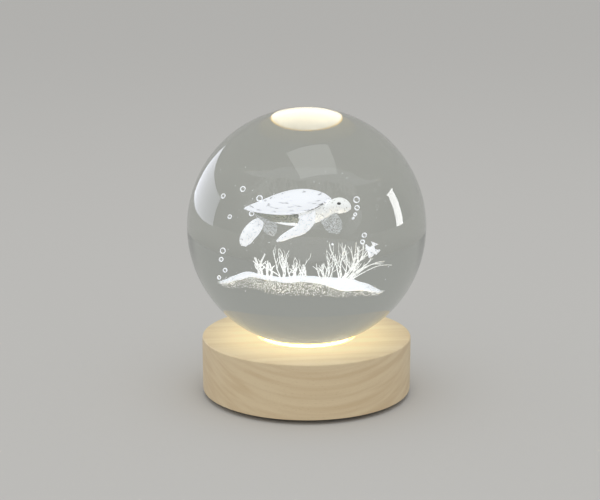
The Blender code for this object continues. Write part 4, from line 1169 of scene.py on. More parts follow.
    def eyes(self) -> bmesh.types.BMesh:
        """Makes the two almond eyes.

        Returns:
            The eyes, where they lie in the ball.
        """
        bm = bmesh.new()
        reach, wide, up = self.eye_place
        steps_round, steps_down = self.eye_steps
        for side in (-1, 1):
            middle = (
                self.neck + reach * self.head_length,
                side * wide * self.head_width,
                up * self.head_height,
            )
            bmesh.ops.create_uvsphere(
                bm,
                u_segments=steps_round,
                v_segments=steps_down,
                radius=self.eye_radius,
                matrix=Matrix.Translation(middle) @ Matrix.Diagonal((*self.eye_shape, 1)),
            )
        return moved(bm, self.placed)

    def flipper(self, limb: Limb) -> bmesh.types.BMesh:
        """Makes one flipper where it lies in the ball.

        Args:
            limb: Which one.

        Returns:
            The closed form.
        """
        root = self.placed @ Vector([share * size for share, size in zip(limb.root, self.half)])
        rings = []
        for number, (*place, wide, tall) in enumerate(smoothed(limb.rows, limb.steps)):
            scallop = 1 + limb.teeth * (number % 2) * min(1.0, wide / self.tooth_width)
            middle = root + Vector(place) * limb.length
            rings.append(Ring(middle, wide * limb.width * scallop, tall * limb.thick))
        return loft(rings, self.facing, limb.sides)

    def flippers(self, front: Limb, rear: Limb) -> bmesh.types.BMesh:
        """Makes the two flippers of one side.

        Args:
            front: The one in front.
            rear: The one behind it.

        Returns:
            Both in one mesh.
        """
        bm = self.flipper(front)
        join(bm, self.flipper(rear))
        return bm

    def far_cloud(self, draw: random.Random) -> list[tuple[Vector, float]]:
        """Gives the sparse points of the two flippers on the far side."""
        points = scatter(self.flippers(self.far_front, self.far_rear), self.far_points, draw)
        return [(p, self.point_radius) for p in points]


@dataclass
class SeaBed:
    """A strip of sand with low dunes that thins out to both sides, over a sparse rounded underside.

    A row of the dunes has its place along the half length and its height. The front slope has the place and
    the reach of its deepest point along the half length, and its depth.
    """

    length: float = 36.0
    shift: float = -1.4
    depth: float = 12.4
    level: float = -11.4
    wall: float = 0.3
    thick: float = 3.8
    end_power: float = 2.4
    grid: tuple[int, int] = (96, 26)
    grid_reach: float = 0.995
    merge: float = 0.01
    edge_play: float = 0.15
    edge_waves: tuple[float, float, float] = (0.35, 2.0, 4.0)
    ripple: float = 0.22
    ripple_waves: tuple[float, float] = (0.5, 0.6)
    sunk: float = 0.2
    points_below: int = 2700
    below_power: float = 1.5
    below_round: float = 0.6
    points_at_ends: int = 900
    ends_from: float = 0.84
    ends_reach: float = 0.17
    ends_power: float = 1.3
    ends_depth: float = 0.9
    ends_below: tuple[float, float] = (-0.1, 0.4)
    ends_play: tuple[float, float, float] = (0.2, 1.6, 0.25)
    ends_sag: tuple[float, float] = (0.5, 0.86)
    point_radii: tuple[float, float] = (0.05, 0.11)
    front_slope: tuple[float, float, float] = (0.58, 0.26, 1.8)
    dune_rows: tuple[tuple[float, float], ...] = (
        (-1.00, -1.4),
        (-0.80, -0.1),
        (-0.62, 0.8),
        (-0.40, 0.2),
        (-0.22, -0.3),
        (0.00, 0.0),
        (0.30, -0.3),
        (0.62, -0.7),
        (0.80, -1.6),
        (0.90, -2.5),
        (1.00, -3.2),
    )

    def rounding(self, share: float) -> float:
        """Gives how far the strip still reaches in depth at a share of its half length."""
        return math.sqrt(max(0.0, 1 - abs(share) ** self.end_power))

    def point(self, u: float, v: float, below: float = 0.0) -> Vector:
        """Gives a point of the strip.

        Args:
            u: Its share of the half length, from left to right.
            v: Its share of the half depth, from front to rear.
            below: Its share of the thickness, from the top down.

        Returns:
            The point.
        """
        x = self.shift + u * self.length / 2
        wave_x, wave_y, row = self.edge_waves
        edge = 1 + self.edge_play * noise.noise(Vector((x * wave_x, v * wave_y, row)))
        y = v * self.rounding(u) * self.depth / 2 * edge
        wave_x, wave_y = self.ripple_waves
        ripple = self.ripple * noise.noise(Vector((x * wave_x, y * wave_y, 0.0)))
        at, reach, drop = self.front_slope
        slope = drop * max(0.0, -v) ** 2 * math.exp(-(((u - at) / reach) ** 2))
        dune = along(self.dune_rows, u)[1] - slope
        return Vector((x, y, self.level + dune + ripple - below * self.thick * self.rounding(u)))

    def foot(self, x: float, y: float) -> Vector:
        """Gives the place just under the sand where something grows.

        Args:
            x: Its place from left to right.
            y: Its place from front to rear.

        Returns:
            The place.
        """
        top = self.point((x - self.shift) / (self.length / 2), y / (self.depth / 2))
        return Vector((x, y, top.z - self.sunk))

    def sand(self) -> bmesh.types.BMesh:
        """Makes the bright sheet of sand.

        Returns:
            The sheet, where it lies in the ball.
        """
        columns, rows = self.grid
        bm = bmesh.new()
        bmesh.ops.create_grid(bm, x_segments=columns, y_segments=rows, size=1)
        shaped(bm, lambda p: self.point(p.x * self.grid_reach, p.y))
        bmesh.ops.remove_doubles(bm, verts=bm.verts, dist=self.merge)
        bmesh.ops.solidify(bm, geom=bm.faces, thickness=self.wall)
        return outward(bm)

    def cloud(self, draw: random.Random) -> list[tuple[Vector, float]]:
        """Gives the points that thin out under the sand and past its ends.

        Args:
            draw: The seeded source of chance.

        Returns:
            The middle and the radius of each.
        """
        points = []
        while len(points) < self.points_below:
            u, v = draw.uniform(-1, 1), draw.uniform(-1, 1)
            if u * u + v * v > 1:
                continue
            below = draw.random() ** self.below_power * math.sqrt(1 - v * v * self.below_round)
            points.append((self.point(u, v, below), draw.uniform(*self.point_radii)))
        sag, sag_from = self.ends_sag
        for _ in range(self.points_at_ends):
            side = draw.choice((-1, 1))
            reach = self.ends_from + self.ends_reach * draw.random() ** self.ends_power
            v = draw.uniform(-self.ends_depth, self.ends_depth)
            place = self.point(side * min(reach, self.grid_reach), v, draw.uniform(*self.ends_below))
            place.x = self.shift + side * reach * self.length / 2
            place += random_shift(draw, self.ends_play)
            place.z -= sag * (reach - sag_from)
            points.append((place, draw.uniform(*self.point_radii)))
        return points


@dataclass(frozen=True)
class Bush:
    """One clump: where it stands, how tall it is, and how its stems spread, lean, fork and wander."""

    x: float
    y: float
    height: float
    stems: int
    spread: float
    radius: float
    lean: float = 0.0
    forks: int = 2
    bend: float = 0.22


@dataclass(frozen=True)
class Shoot:
    """How one twig grows: its way, length and radius at the root, and how much it wanders at each step.

    The pull turns it to one side, and more so to its end.
    """

    way: Vector
    length: float
    radius: float
    bend: float
    steps: int = 6
    pull: Vector = field(default_factory=Vector)


@dataclass
class Growth:
    """What grows out of the sand: twigs that wander a little and thin out to their tips."""

    bed: SeaBed
    twig_sides: int = 6
    steep_share: float = 0.8
    taper: float = 0.5
    wander_up: tuple[float, float] = (-0.6, 0.9)

    def twig(
        self, target: bmesh.types.BMesh, start: Vector, shoot: Shoot, draw: random.Random
    ) -> list[tuple[Vector, Vector]]:
        """Adds one wandering twig that thins out to its tip.

        Args:
            target: The mesh that it is added to.
            start: Its root.
            shoot: How it grows.
            draw: The seeded source of chance.

        Returns:
            The place and the way at each step, for twigs that grow from it.
        """
        place, heading, path = Vector(start), shoot.way.normalized(), []
        for i in range(shoot.steps + 1):
            path.append((place.copy(), heading.copy()))
            wander = Vector((draw.uniform(-1, 1), draw.uniform(-1, 1), draw.uniform(*self.wander_up)))
            heading = (heading + wander * shoot.bend + shoot.pull * (i / shoot.steps)).normalized()
            place = place + heading * (shoot.length / shoot.steps)
        rings = []
        for i, (middle, _) in enumerate(path):
            radius = shoot.radius * (1 - self.taper * i / shoot.steps)
            rings.append(Ring(middle, radius, radius))
        facing = FRONT if abs(shoot.way.normalized().dot(FRONT)) < self.steep_share else UP
        join(target, loft(rings, facing, self.twig_sides))
        return path


@dataclass
class Coral(Growth):
    """Clumps of staghorn coral to the left, and a finer fan to the right.

    Play is how far chance may shift or turn something to both sides, and a pair that isn't a range has its
    parts along X and Z, or along X and Y for the tips. A clump with more forks than tips_above has tips.
    """

    foot_gap: float = 0.4
    foot_play: float = 0.5
    depth_play: float = 0.4
    depth_least: float = 0.2
    stem_lengths: tuple[float, float] = (0.72, 1.0)
    stem_radii: tuple[float, float] = (0.85, 1.1)
    stem_pull: tuple[float, float] = (-0.3, 0.15)
    fork_from: int = 2
    fork_span: int = 3
    fork_sides: tuple[float, float] = (0.4, 0.9)
    fork_up: float = 0.3
    fork_lengths: tuple[float, float] = (0.25, 0.45)
    fork_radius: float = 0.62
    fork_steps: int = 4
    tips_above: int = 3
    tip_from: int = 2
    tip_play: tuple[float, float] = (0.8, 0.3)
    tip_length: float = 0.16
    tip_radius: float = 0.42
    tip_steps: int = 3
    staghorn_bushes: tuple[Bush, ...] = (
        Bush(-10.0, -0.6, 5.6, 3, 0.7, 0.32, lean=-0.3, bend=0.34),
        Bush(-8.0, 0.8, 5.4, 2, 0.6, 0.3, lean=-0.1, bend=0.34),
        Bush(-5.2, 1.0, 8.2, 4, 0.4, 0.14, lean=-0.1, forks=3, bend=0.5),
        Bush(-4.9, -0.8, 8.0, 2, 0.2, 0.15, forks=2, bend=0.5),
        Bush(-3.0, -1.4, 4.6, 3, 0.9, 0.26, bend=0.34),
        Bush(-1.9, 1.0, 6.6, 3, 0.4, 0.12, bend=0.45),
        Bush(-0.6, -1.2, 4.4, 2, 0.8, 0.28, lean=0.2, bend=0.34),
    )
    fan_bushes: tuple[Bush, ...] = (
        Bush(3.9, -1.0, 5.0, 4, 0.8, 0.15, forks=3, bend=0.3),
        Bush(4.5, 1.2, 6.6, 3, 0.6, 0.13, lean=0.1, forks=3, bend=0.3),
        Bush(7.6, 0.0, 11.4, 5, 0.75, 0.17, lean=0.75, forks=4, bend=0.24),
        Bush(8.0, -1.5, 9.6, 2, 0.5, 0.15, lean=1.2, forks=4, bend=0.24),
        Bush(7.2, 1.8, 8.6, 2, 0.6, 0.14, lean=0.2, forks=3, bend=0.26),
    )

    def grow(self, target: bmesh.types.BMesh, bush: Bush, draw: random.Random) -> None:
        """Adds a clump of stems that fan out of one foot, each with forks.

        Args:
            target: The mesh that it is added to.
            bush: The clump.
            draw: The seeded source of chance.
        """
        for i in range(bush.stems):
            share = (i + 0.5) / bush.stems * 2 - 1
            y = bush.y + draw.uniform(-self.foot_play, self.foot_play)
            foot = self.bed.foot(bush.x + share * self.foot_gap, y)
            depth = draw.uniform(-self.depth_play, self.depth_play) * (bush.spread + self.depth_least)
            way = Vector((share * bush.spread + bush.lean, depth, 1))
            length = bush.height * draw.uniform(*self.stem_lengths)
            radius = bush.radius * draw.uniform(*self.stem_radii)
            across, up = self.stem_pull
            pull = Vector((share * across, 0, up))
            path = self.twig(target, foot, Shoot(way, length, radius, bush.bend, pull=pull), draw)
            for number in range(bush.forks):
                root, heading = path[self.fork_from + number * self.fork_span // bush.forks]
                side = draw.choice((-1, 1)) * draw.uniform(*self.fork_sides)
                turn = Vector((side, draw.uniform(-self.depth_play, self.depth_play), self.fork_up))
                reach = length * draw.uniform(*self.fork_lengths)
                thick = radius * self.fork_radius
                shoot = Shoot(heading + turn, reach, thick, bush.bend, self.fork_steps)
                fork = self.twig(target, root, shoot, draw)
                if bush.forks > self.tips_above:
                    root, heading = fork[self.tip_from]
                    self.twig(target, root, self.tip(heading, length, radius, bush.bend, draw), draw)

    def tip(self, way: Vector, length: float, radius: float, bend: float, draw: random.Random) -> Shoot:
        """Gives how the last short twig on a fork grows.

        Args:
            way: The fork's way where it starts.
            length: The whole stem's length.
            radius: The whole stem's radius.
            bend: How much it wanders.
            draw: The seeded source of chance.

        Returns:
            The shoot.
        """
        across, deep = self.tip_play
        turn = Vector((draw.uniform(-across, across), draw.uniform(-deep, deep), self.fork_up))
        return Shoot(way + turn, length * self.tip_length, radius * self.tip_radius, bend, self.tip_steps)

    def clumps(self, bushes: Iterable[Bush], draw: random.Random) -> bmesh.types.BMesh:
        """Makes a group of clumps.

        Args:
            bushes: The clumps.
            draw: The seeded source of chance.

        Returns:
            All of them in one mesh.
        """
        bm = bmesh.new()
        for bush in bushes:
            self.grow(bm, bush, draw)
        return bm


@dataclass
class SeaGrass(Growth):
    """Blades that bow low to the right, and a few thin upright whips.

    A pair that isn't a range has the first one's value and the step to the next. Play is how far chance may
    turn one to the front or rear.
    """

    blades: int = 4
    blade_x: tuple[float, float] = (8.6, 0.15)
    blade_y: float = 1.2
    blade_play: float = 0.2
    blade_up: tuple[float, float] = (0.95, -0.13)
    blade_length: tuple[float, float] = (9.2, 0.5)
    blade_radius: float = 0.13
    blade_bend: float = 0.07
    blade_steps: int = 10
    blade_pull: tuple[float, float, float] = (0.1, 0.0, -0.16)
    whips: int = 3
    whip_x: tuple[float, float] = (5.6, 1.1)
    whip_y: float = 2.0
    whip_lean: tuple[float, float] = (-0.1, 0.25)
    whip_play: float = 0.2
    whip_lengths: tuple[float, float] = (6.5, 9.3)
    whip_radius: float = 0.1
    whip_bend: float = 0.09
    whip_steps: int = 9

    def form(self, draw: random.Random) -> bmesh.types.BMesh:
        """Makes all blades and whips.

        Args:
            draw: The seeded source of chance.

        Returns:
            All of them in one mesh.
        """
        bm = bmesh.new()
        for i in range(self.blades):
            x, up, length = (a + b * i for a, b in (self.blade_x, self.blade_up, self.blade_length))
            foot = self.bed.foot(x, draw.uniform(-self.blade_y, self.blade_y))
            way = Vector((1, draw.uniform(-self.blade_play, self.blade_play), up))
            pull = Vector(self.blade_pull)
            shoot = Shoot(way, length, self.blade_radius, self.blade_bend, self.blade_steps, pull)
            self.twig(bm, foot, shoot, draw)
        first, gap = self.whip_x
        for i in range(self.whips):
            foot = self.bed.foot(first + gap * i, draw.uniform(-self.whip_y, self.whip_y))
            lean = draw.uniform(*self.whip_lean)
            way = Vector((lean, draw.uniform(-self.whip_play, self.whip_play), 1))
            length = draw.uniform(*self.whip_lengths)
            self.twig(bm, foot, Shoot(way, length, self.whip_radius, self.whip_bend, self.whip_steps), draw)
        return bm


@dataclass
class Fish:
    """One small fish over the coral, nose down to the left."""

    middle: tuple[float, float, float] = (14.5, -0.6, -5.4)
    dive: float = 112.0
    size: float = 1.2
    body: tuple[Ring, ...] = (
        Ring((1.35, 0, 0), 0.06, 0.06),
        Ring((0.9, 0, 0.05), 0.45, 0.25),
        Ring((0.2, 0, 0.05), 0.75, 0.34),
        Ring((-0.5, 0, 0), 0.55, 0.26),
        Ring((-1.0, 0, 0), 0.18, 0.12),
        Ring((-1.25, 0, 0), 0.3, 0.08),
        Ring((-1.7, 0, 0), 0.8, 0.05),
    )
    fin: tuple[Ring, ...] = (
        Ring((-0.5, 0, 0.5), 0.3, 0.06),
        Ring((-0.1, 0, 0.9), 0.5, 0.06),
        Ring((-0.8, 0, 1.45), 0.12, 0.04),
    )
    body_sides: int = 16
    fin_sides: int = 8

    def form(self) -> bmesh.types.BMesh:
        """Makes the body with its tail, and a fin above and below.

        Returns:
            The fish, where it lies in the ball.
        """
        bm = loft(self.body, FRONT, self.body_sides)
        for side in (1, -1):
            join(bm, moved(loft(self.fin, FRONT, self.fin_sides), Matrix.Diagonal((1, 1, side, 1))))
        turn = Matrix.Translation(self.middle) @ Matrix.Rotation(math.radians(self.dive), 4, "Y")
        return outward(moved(bm, turn @ Matrix.Scale(self.size, 4)))


@dataclass
class Bubbles:
    """Small bubbles, each a bright ring in a thin shell of points, with one bead and a few loose specks.

    A row has a bubble's place from left to right, its height and its radius, all as measured. Its ring is
    thickest at the swell's angle, in radians, and on the opposite side.
    """

    rows: tuple[tuple[float, float, float], ...] = (
        (-14.6, 8.8, 0.58),
        (-19.4, 7.3, 0.50),
        (-17.4, 2.3, 0.42),
        (-10.6, 6.5, 0.62),
        (-12.3, 3.0, 0.50),
        (11.3, 6.3, 0.66),
        (11.3, 4.3, 0.50),
        (10.9, 2.9, 0.34),
        (10.4, 2.0, 0.20),
        (12.8, -1.9, 0.48),
        (12.4, -3.4, 0.44),
        (-18.8, -5.5, 0.60),
        (-19.1, -7.5, 0.46),
        (-18.2, -9.9, 0.44),
        (-19.7, -11.7, 0.40),
    )
    depth: float = 0.3
    bead: tuple[float, float, float] = (5.7, -3.9, 0.32)
    ring_radius: float = 0.12
    ring_steps: int = 24
    ring_sides: int = 6
    ring_thin: float = 0.8
    ring_swell: float = 0.6
    ring_swell_at: float = 0.8
    ring_flat: float = 0.8
    shell_points: int = 26
    shell_point_radius: float = 0.05
    loose_specks: int = 70
    specks_low: tuple[float, float, float] = (-20.0, -8.0, -16.0)
    specks_high: tuple[float, float, float] = (20.0, 8.0, 12.0)
    speck_radii: tuple[float, float] = (0.04, 0.11)

    def ring(self, middle: Vector, radius: float) -> bmesh.types.BMesh:
        """Makes one bubble's bright ring, with its two thicker sides.

        Args:
            middle: The bubble's middle.
            radius: Its radius.

        Returns:
            The ring.
        """
        rings = []
        for k in range(self.ring_steps + 1):
            turn = math.tau * k / self.ring_steps
            around = middle + Vector((math.cos(turn), 0, math.sin(turn))) * radius
            swell = self.ring_swell * math.cos(turn - self.ring_swell_at) ** 2
            thick = self.ring_radius * (self.ring_thin + swell)
            rings.append(Ring(around, thick, thick * self.ring_flat))
        return loft(rings, FRONT, self.ring_sides)

    def form(self, draw: random.Random) -> bmesh.types.BMesh:
        """Makes all bubbles, the bead and the specks.

        Args:
            draw: The seeded source of chance.

        Returns:
            All of them in one mesh.
        """
        bm = bmesh.new()
        points = []
        for x, z, radius in self.rows:
            middle = Vector((x, draw.uniform(-self.depth, self.depth), z))
            join(bm, self.ring(middle, radius))
            for _ in range(self.shell_points):
                way = Vector([draw.gauss(0, 1) for _ in range(3)]).normalized()
                points.append((middle + way * radius, self.shell_point_radius))
        x, z, radius = self.bead
        points.append((Vector((x, 0, z)), radius))
        for _ in range(self.loose_specks):
            place = Vector([draw.uniform(*ends) for ends in zip(self.specks_low, self.specks_high)])
            points.append((place, draw.uniform(*self.speck_radii)))
        join(bm, dots(points))
        return bm


@dataclass
class Engraving(Assembly):
    """The picture in the glass, a cloud of cracks in the real ball. It goes with the ball."""

    middle: Vector
    seed: int = 7
    smooth: float = 50.0

    def forms(self) -> Iterator[tuple[str, bmesh.types.BMesh, Finish | Sequence[Finish]]]:
        """Makes the turtle, the sea bed, what grows on it, the fish and the bubbles.

        Returns:
            Each form's name, its mesh round the ball's middle, and its finishes.
        """
        draw = random.Random(self.seed)
        turtle = Turtle()
        bed = SeaBed()
        coral = Coral(bed)
        yield "turtle_shell", turtle.shell(), ENGRAVED_SHELL
        yield "turtle_belly", turtle.belly_form(), (ENGRAVED_BELLY, ENGRAVED_SKIN, ENGRAVED)
        yield "turtle_head", turtle.head(), ENGRAVED_SKIN
        yield "turtle_eyes", turtle.eyes(), ENGRAVED_SPARSE_AND_SHADE
        yield "turtle_neck_shade_line", turtle.neck_shade_line(), ENGRAVED_SPARSE_AND_SHADE
        yield "turtle_flippers", turtle.flippers(turtle.near_front, turtle.near_rear), ENGRAVED
        yield "turtle_far_flippers", dots(turtle.far_cloud(draw)), ENGRAVED_DIM
        yield "sea_bed", bed.sand(), ENGRAVED
        yield "sea_bed_underside", dots(bed.cloud(draw)), ENGRAVED_DIM
        yield "staghorn_coral", coral.clumps(coral.staghorn_bushes, draw), ENGRAVED_FINE
        yield "fan_coral", coral.clumps(coral.fan_bushes, draw), ENGRAVED_FINE
        yield "sea_grass", SeaGrass(bed).form(draw), ENGRAVED_FINE
        yield "fish", Fish().form(), ENGRAVED
        yield "bubbles", Bubbles().form(draw), ENGRAVED

    def build(self) -> None:
        """Moves each form into the ball and places it."""
        for name, bm, finishes in self.forms():
            bmesh.ops.translate(bm, vec=self.middle, verts=bm.verts)
            self.place("engraved_" + name, bm, finishes, smooth=self.smooth)


# The base and what it holds


@dataclass
class WoodBase(Assembly):
    """The turned beech disc with its lit recess."""

    steepest: float = 0.75
    sagitta: float = 0.06

    def build(self) -> None:
        """Smooths the disc's turned surfaces, and shades its side as one round face past the openings."""
        low, high = corners("wood_base")
        radius = (high.x - low.x) / 2
        mesh = self.refine("beech_base", "wood_base", BEECH, Slot.BEECH, 30).data
        normals = [Vector(corner.vector) for corner in mesh.corner_normals]
        for face in mesh.polygons:
            for loop in face.loop_indices:
                place = mesh.vertices[mesh.loops[loop].vertex_index].co.to_2d() / MM
                outer = face.normal.to_2d().dot(place) > 0 and abs(face.normal.z) < self.steepest
                if outer and radius - place.length < self.sagitta:
                    normals[loop] = place.to_3d().normalized()
        mesh.normals_split_custom_set(normals)


@dataclass
class LightModule(Assembly):
    """The four LEDs on their white board under the clear window.

    A row of the lens has the radius and the height of a corner. A lead's size is given along the LED, across
    it and upwards.
    """

    led_count: int = 4
    screw_count: int = 3
    lens_rows: tuple[tuple[float, float], ...] = ((0.0, 0.32), (0.7, 0.27), (1.12, 0.1), (1.12, 0.0))
    lens_steps: int = 28
    lens_sunk: float = 0.3
    lead_size: tuple[float, float, float] = (0.15, 1.6, 0.5)
    lead_edge: float = 0.04
    lead_z: float = 0.2

    def led(self, node: str) -> None:
        """Makes one LED: a white case with a round dome of phosphor and a tinned lead at each end.

        Args:
            node: The LED's CAD node.
        """
        low, high = corners(node)
        size, middle = high - low, (low + high) / 2
        case = self.cad_copy(node)
        lens = turned(self.lens_rows, self.lens_steps)
        join(case, moved(lens, Matrix.Translation((middle.x, middle.y, high.z - self.lens_sunk))), 1)
        thick, wide, tall = self.lead_size
        lies_across = size.x > size.y
        lead_size = (thick, wide, tall) if lies_across else (wide, thick, tall)
        reach = (RIGHT if lies_across else FRONT) * (max(size.x, size.y) / 2 + thick)
        foot = Vector((middle.x, middle.y, low.z + self.lead_z))
        for side in (-1, 1):
            join(case, box(lead_size, foot + reach * side, self.lead_edge), 2)
        self.place(node + "_package", case, (LED_CASE, PHOSPHOR, TIN), Slot.PHOSPHOR, [node], smooth=40)

    def build(self) -> None:
        """Makes the LEDs and dresses the board, its screws and the window."""
        for number in range(self.led_count):
            self.led(f"led_{number + 1}")
        self.refine("clear_window", "light_window", ACRYLIC, Slot.ACRYLIC)
        self.refine("round_led_board", "led_board", BOARD_WHITE, Slot.WHITE_BOARD)
        for number in range(self.screw_count):
            self.dress(f"led_board_screw_{number + 1}", STEEL)


@dataclass
class Electronics(Assembly):
    """The power board with its parts, the inlet and the switch."""

    contact_count: int = 8
    contact_width: float = 0.26
    contact_share: float = 0.62
    contact_lift: float = 0.02
    contact_margin: float = 0.3
    row_share: float = 0.86
    dressed: tuple[tuple[str, Finish], ...] = (
        ("power_board", BOARD_GREEN),
        ("driver_chip", EPOXY),
        ("resistor_1", CERAMIC),
        ("resistor_2", CERAMIC),
        ("lead_red", PVC_RED),
        ("lead_black", PVC_BLACK),
        ("power_board_screw_1", STEEL),
        ("power_board_screw_2", STEEL),
        ("switch_body", ABS_BLACK),
        ("socket_tongue", ABS_BLACK),
    )

    def contacts(self) -> bmesh.types.BMesh:
        """Makes the plated contacts on both faces of the inlet's tongue.

        Returns:
            All contacts in one mesh.
        """
        low, high = corners("socket_tongue")
        size, middle = high - low, (low + high) / 2
        length = size.y * self.contact_share
        y = high.y - length / 2 - self.contact_margin
        bm = bmesh.new()
        for number in range(self.contact_count):
            share = ((number + 0.5) / self.contact_count - 0.5) * self.row_share
            contact = (self.contact_width, length, size.z + 2 * self.contact_lift)
            join(bm, box(contact, (middle.x + share * size.x, y, middle.z)))
        return bm

    def build(self) -> None:
        """Dresses what is inside the base and at its rear opening."""
        for node, finish in self.dressed:
            self.dress(node, finish)
        self.place("inlet_contacts", self.contacts(), GOLD)
        self.refine("inlet_shell", "power_socket", STEEL, Slot.STEEL, 40)


@dataclass
class PushButton(Assembly):
    """The rear push button and the switch's plunger."""

    def build(self) -> None:
        """Smooths the button and dresses the plunger."""
        self.refine("push_button", "switch_button", ABS_BLACK, Slot.BLACK_PLASTIC, 40)
        self.dress("switch_plunger", ABS_BLACK)


@dataclass
class Underside(Assembly):
    """The bottom cover, its screws and the four feet."""

    foot_count: int = 4
    screw_count: int = 3
    drive_reach: float = 1.05
    drive_width: float = 0.24
    drive_depth: float = 0.9

    def cross(self, middle: Vector) -> list[Vector]:
        """Gives the twelve corners of a screw's cross drive, in order round its middle.

        Args:
            middle: The middle of the screw's head.

        Returns:
            The corners.
        """
        near, far = self.drive_width, self.drive_reach
        quarter = [Vector(p) for p in ((far, -near, 0), (near, -near, 0), (near, -far, 0))]
        turns = [Matrix.Rotation(-math.pi / 2 * number, 3, "Z") for number in range(4)]
        return [turn @ corner + middle for turn in turns for corner in quarter]

    def screw(self, node: str) -> None:
        """Makes one countersunk screw with a cross drive in its head, from the CAD's own screw.

        Args:
            node: The screw's CAD node.
        """
        bm = self.cad_copy(node)
        low, high = corners(node)
        head = min(bm.faces, key=lambda f: f.calc_center_median().z)
        outline = list(head.edges)
        bmesh.ops.delete(bm, geom=[head], context="FACES_ONLY")
        cross = self.cross(Vector(((low.x + high.x) / 2, (low.y + high.y) / 2, low.z)))
        made = bmesh.ops.create_circle(bm, segments=len(cross), radius=1)["verts"]
        for vert, corner in zip(made, cross):
            vert.co = corner
        edges = edges_at(made)
        bmesh.ops.triangle_fill(bm, edges=outline + edges, use_beauty=True)
        deep, floor = pushed(bm, edges)
        bmesh.ops.translate(bm, vec=(0, 0, self.drive_depth), verts=deep)
        bmesh.ops.contextual_create(bm, geom=floor)
        self.place(node + "_driven", outward(bm), STEEL, Slot.STEEL, [node], smooth=30)

    def build(self) -> None:
        """Smooths the cover and the feet, and makes the screws."""
        self.refine("cover_plate", "bottom_cover", ABS_BLACK, Slot.BLACK_PLASTIC, 30)
        for number in range(1, self.foot_count + 1):
            self.refine(f"round_foot_{number}", f"rubber_foot_{number}", RUBBER, Slot.RUBBER, 40)
        for number in range(1, self.screw_count + 1):
            self.screw(f"cover_screw_{number}")


# The studio


@dataclass(frozen=True)
class SoftBox:
    """One soft light: where it stands round the object, how large it is and how bright its face is."""

    name: str
    azimuth: float
    elevation: float
    distance: float
    width: float
    height: float
    brightness: float
    colour: str = "#FFFFFF"
    only_reflected: bool = True


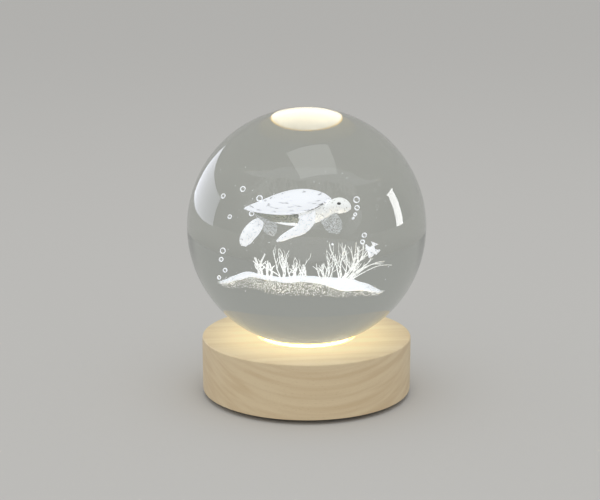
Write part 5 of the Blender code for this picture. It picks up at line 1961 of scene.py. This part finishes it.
@dataclass
class Studio:
    """A pale floor, a pale surround, soft lamps and the camera.

    Names that end in px are places and lengths in the photograph. The clip range is in metres.
    """

    ball_middle: Vector
    surround_colour: str = "#B2B2B0"
    side_colour: str = "#6C6D6F"
    side_range: tuple[float, float] = (0.82, 0.98)
    floor_radius: float = 30000.0
    floor_steps: int = 96
    ambient: tuple[float, float] = (0.5, 0.95)
    key_way: tuple[float, float, float] = (-0.45, -0.65, 0.61)
    camera_distance: float = 420.0
    camera_elevation: float = 11.5
    focal_px: float = 1252.0
    frame_px: tuple[int, int] = (600, 500)
    ball_px: tuple[float, float] = (306.7, 226.8)
    sensor: float = 36.0
    clip_range: tuple[float, float] = (0.01, 100.0)
    boxes: tuple[SoftBox, ...] = (
        SoftBox("right_window", 97, 11, 1000, 170, 400, 10),
        SoftBox("left_window", -124, 9, 1100, 1100, 400, 2.2, "#EEF1FF"),
        SoftBox("overhead", 20, 75, 1200, 700, 700, 1.4, only_reflected=False),
    )

    def floor(self) -> None:
        """Makes the floor, a plain matt disc far larger than the view."""
        bm = bmesh.new()
        bmesh.ops.create_circle(
            bm, cap_ends=True, segments=self.floor_steps, radius=self.floor_radius * MM
        )
        mesh = bpy.data.meshes.new("studio_floor")
        bm.to_mesh(mesh)
        bm.free()
        mesh.materials.append(PAPER.material())
        floor = bpy.data.objects.new("studio_floor", mesh)
        bpy.context.scene.collection.objects.link(floor)

    def surround(self) -> None:
        """Shows a pale surround, and lights the object softly.

        Glass sees the surround darker at both sides, which draws its rim.
        """
        world = bpy.data.worlds.new("studio")
        world.use_nodes = True
        bpy.context.scene.world = world
        tree = world.node_tree
        tree.nodes.clear()
        rays = add_node(tree, "LightPath").node.outputs
        plus = {"operation": "ADD", "use_clamp": True}
        shine = add_node(tree, "Math", [rays["Is Glossy Ray"], rays["Is Transmission Ray"]], **plus)
        seen = add_node(tree, "Math", [rays["Is Camera Ray"], shine], **plus)
        way = add_node(tree, "TexCoord", output="Generated")
        facing = add_node(tree, "VectorMath", [way, self.key_way], "Value", operation="DOT_PRODUCT")
        strength = add_node(tree, "MapRange", [facing, -1.0, 1.0, *self.ambient])
        sideways = add_node(tree, "Math", [add_node(tree, "SeparateXYZ", [way], "X")], operation="ABSOLUTE")
        side = add_node(tree, "MapRange", [sideways, *self.side_range], **SMOOTH)
        share = add_node(tree, "Math", [side, shine], operation="MULTIPLY")
        colours = {SHARE: share, FIRST: linear(self.surround_colour), SECOND: linear(self.side_colour)}
        ambient = add_node(tree, "Background", [linear("#FFFFFF"), strength])
        shown = add_node(tree, "Background", [add_node(tree, "Mix", colours, MIXED, **COLOURS), 1.0])
        add_node(tree, "OutputWorld", [add_node(tree, "MixShader", [seen, ambient, shown])])

    def lamps(self) -> None:
        """Hangs the soft lamps, each turned to the ball."""
        for soft in self.boxes:
            light = bpy.data.lights.new(soft.name, "AREA")
            light.shape = "RECTANGLE"
            light.size = soft.width * MM
            light.size_y = soft.height * MM
            light.energy = soft.brightness * math.pi * light.size * light.size_y
            light.color = linear(soft.colour)[:3]
            lamp = bpy.data.objects.new(soft.name, light)
            turn, rise = math.radians(soft.azimuth), math.radians(soft.elevation)
            level = Vector((math.sin(turn), -math.cos(turn), 0))
            way = level * math.cos(rise) + UP * math.sin(rise)
            lamp.location = (self.ball_middle + way * soft.distance) * MM
            lamp.rotation_euler = (-way).to_track_quat("-Z", "Y").to_euler()
            lamp.visible_transmission = False
            lamp.visible_diffuse = not soft.only_reflected
            bpy.context.scene.collection.objects.link(lamp)

    def camera(self) -> None:
        """Stands the camera where the photograph was taken from, with the ball at its place in the frame."""
        rise = math.radians(self.camera_elevation)
        back = Vector((0, -math.cos(rise), math.sin(rise)))
        data = bpy.data.cameras.new("photo_camera")
        data.sensor_width = self.sensor
        data.lens = self.focal_px * self.sensor / self.frame_px[0]
        data.clip_start, data.clip_end = self.clip_range
        right = math.atan((self.ball_px[0] - self.frame_px[0] / 2) / self.focal_px)
        above = math.atan((self.frame_px[1] / 2 - self.ball_px[1]) / self.focal_px)
        camera = bpy.data.objects.new("photo_camera", data)
        camera.location = (self.ball_middle + back * self.camera_distance) * MM
        camera.rotation_euler = (math.pi / 2 - rise - above, 0, right)
        bpy.context.scene.collection.objects.link(camera)
        bpy.context.scene.camera = camera

    def build(self) -> None:
        """Sets up all of it."""
        self.floor()
        self.surround()
        self.lamps()
        self.camera()
        bpy.context.scene.view_settings.view_transform = "Standard"


def main() -> None:
    """Builds the lamp's pieces and the studio round it."""
    logging.basicConfig(level=logging.INFO, format="%(message)s")
    ball = CrystalBall(Body.BALL)
    Studio(ball.middle).build()
    ball.build()
    Engraving(Body.BALL, ball.middle).build()
    for assembly in (
        WoodBase(Body.BASE),
        LightModule(Body.BASE),
        Electronics(Body.BASE),
        PushButton(Body.BUTTON),
        Underside(Body.BASE),
    ):
        assembly.build()


if __name__ == "__main__":
    main()
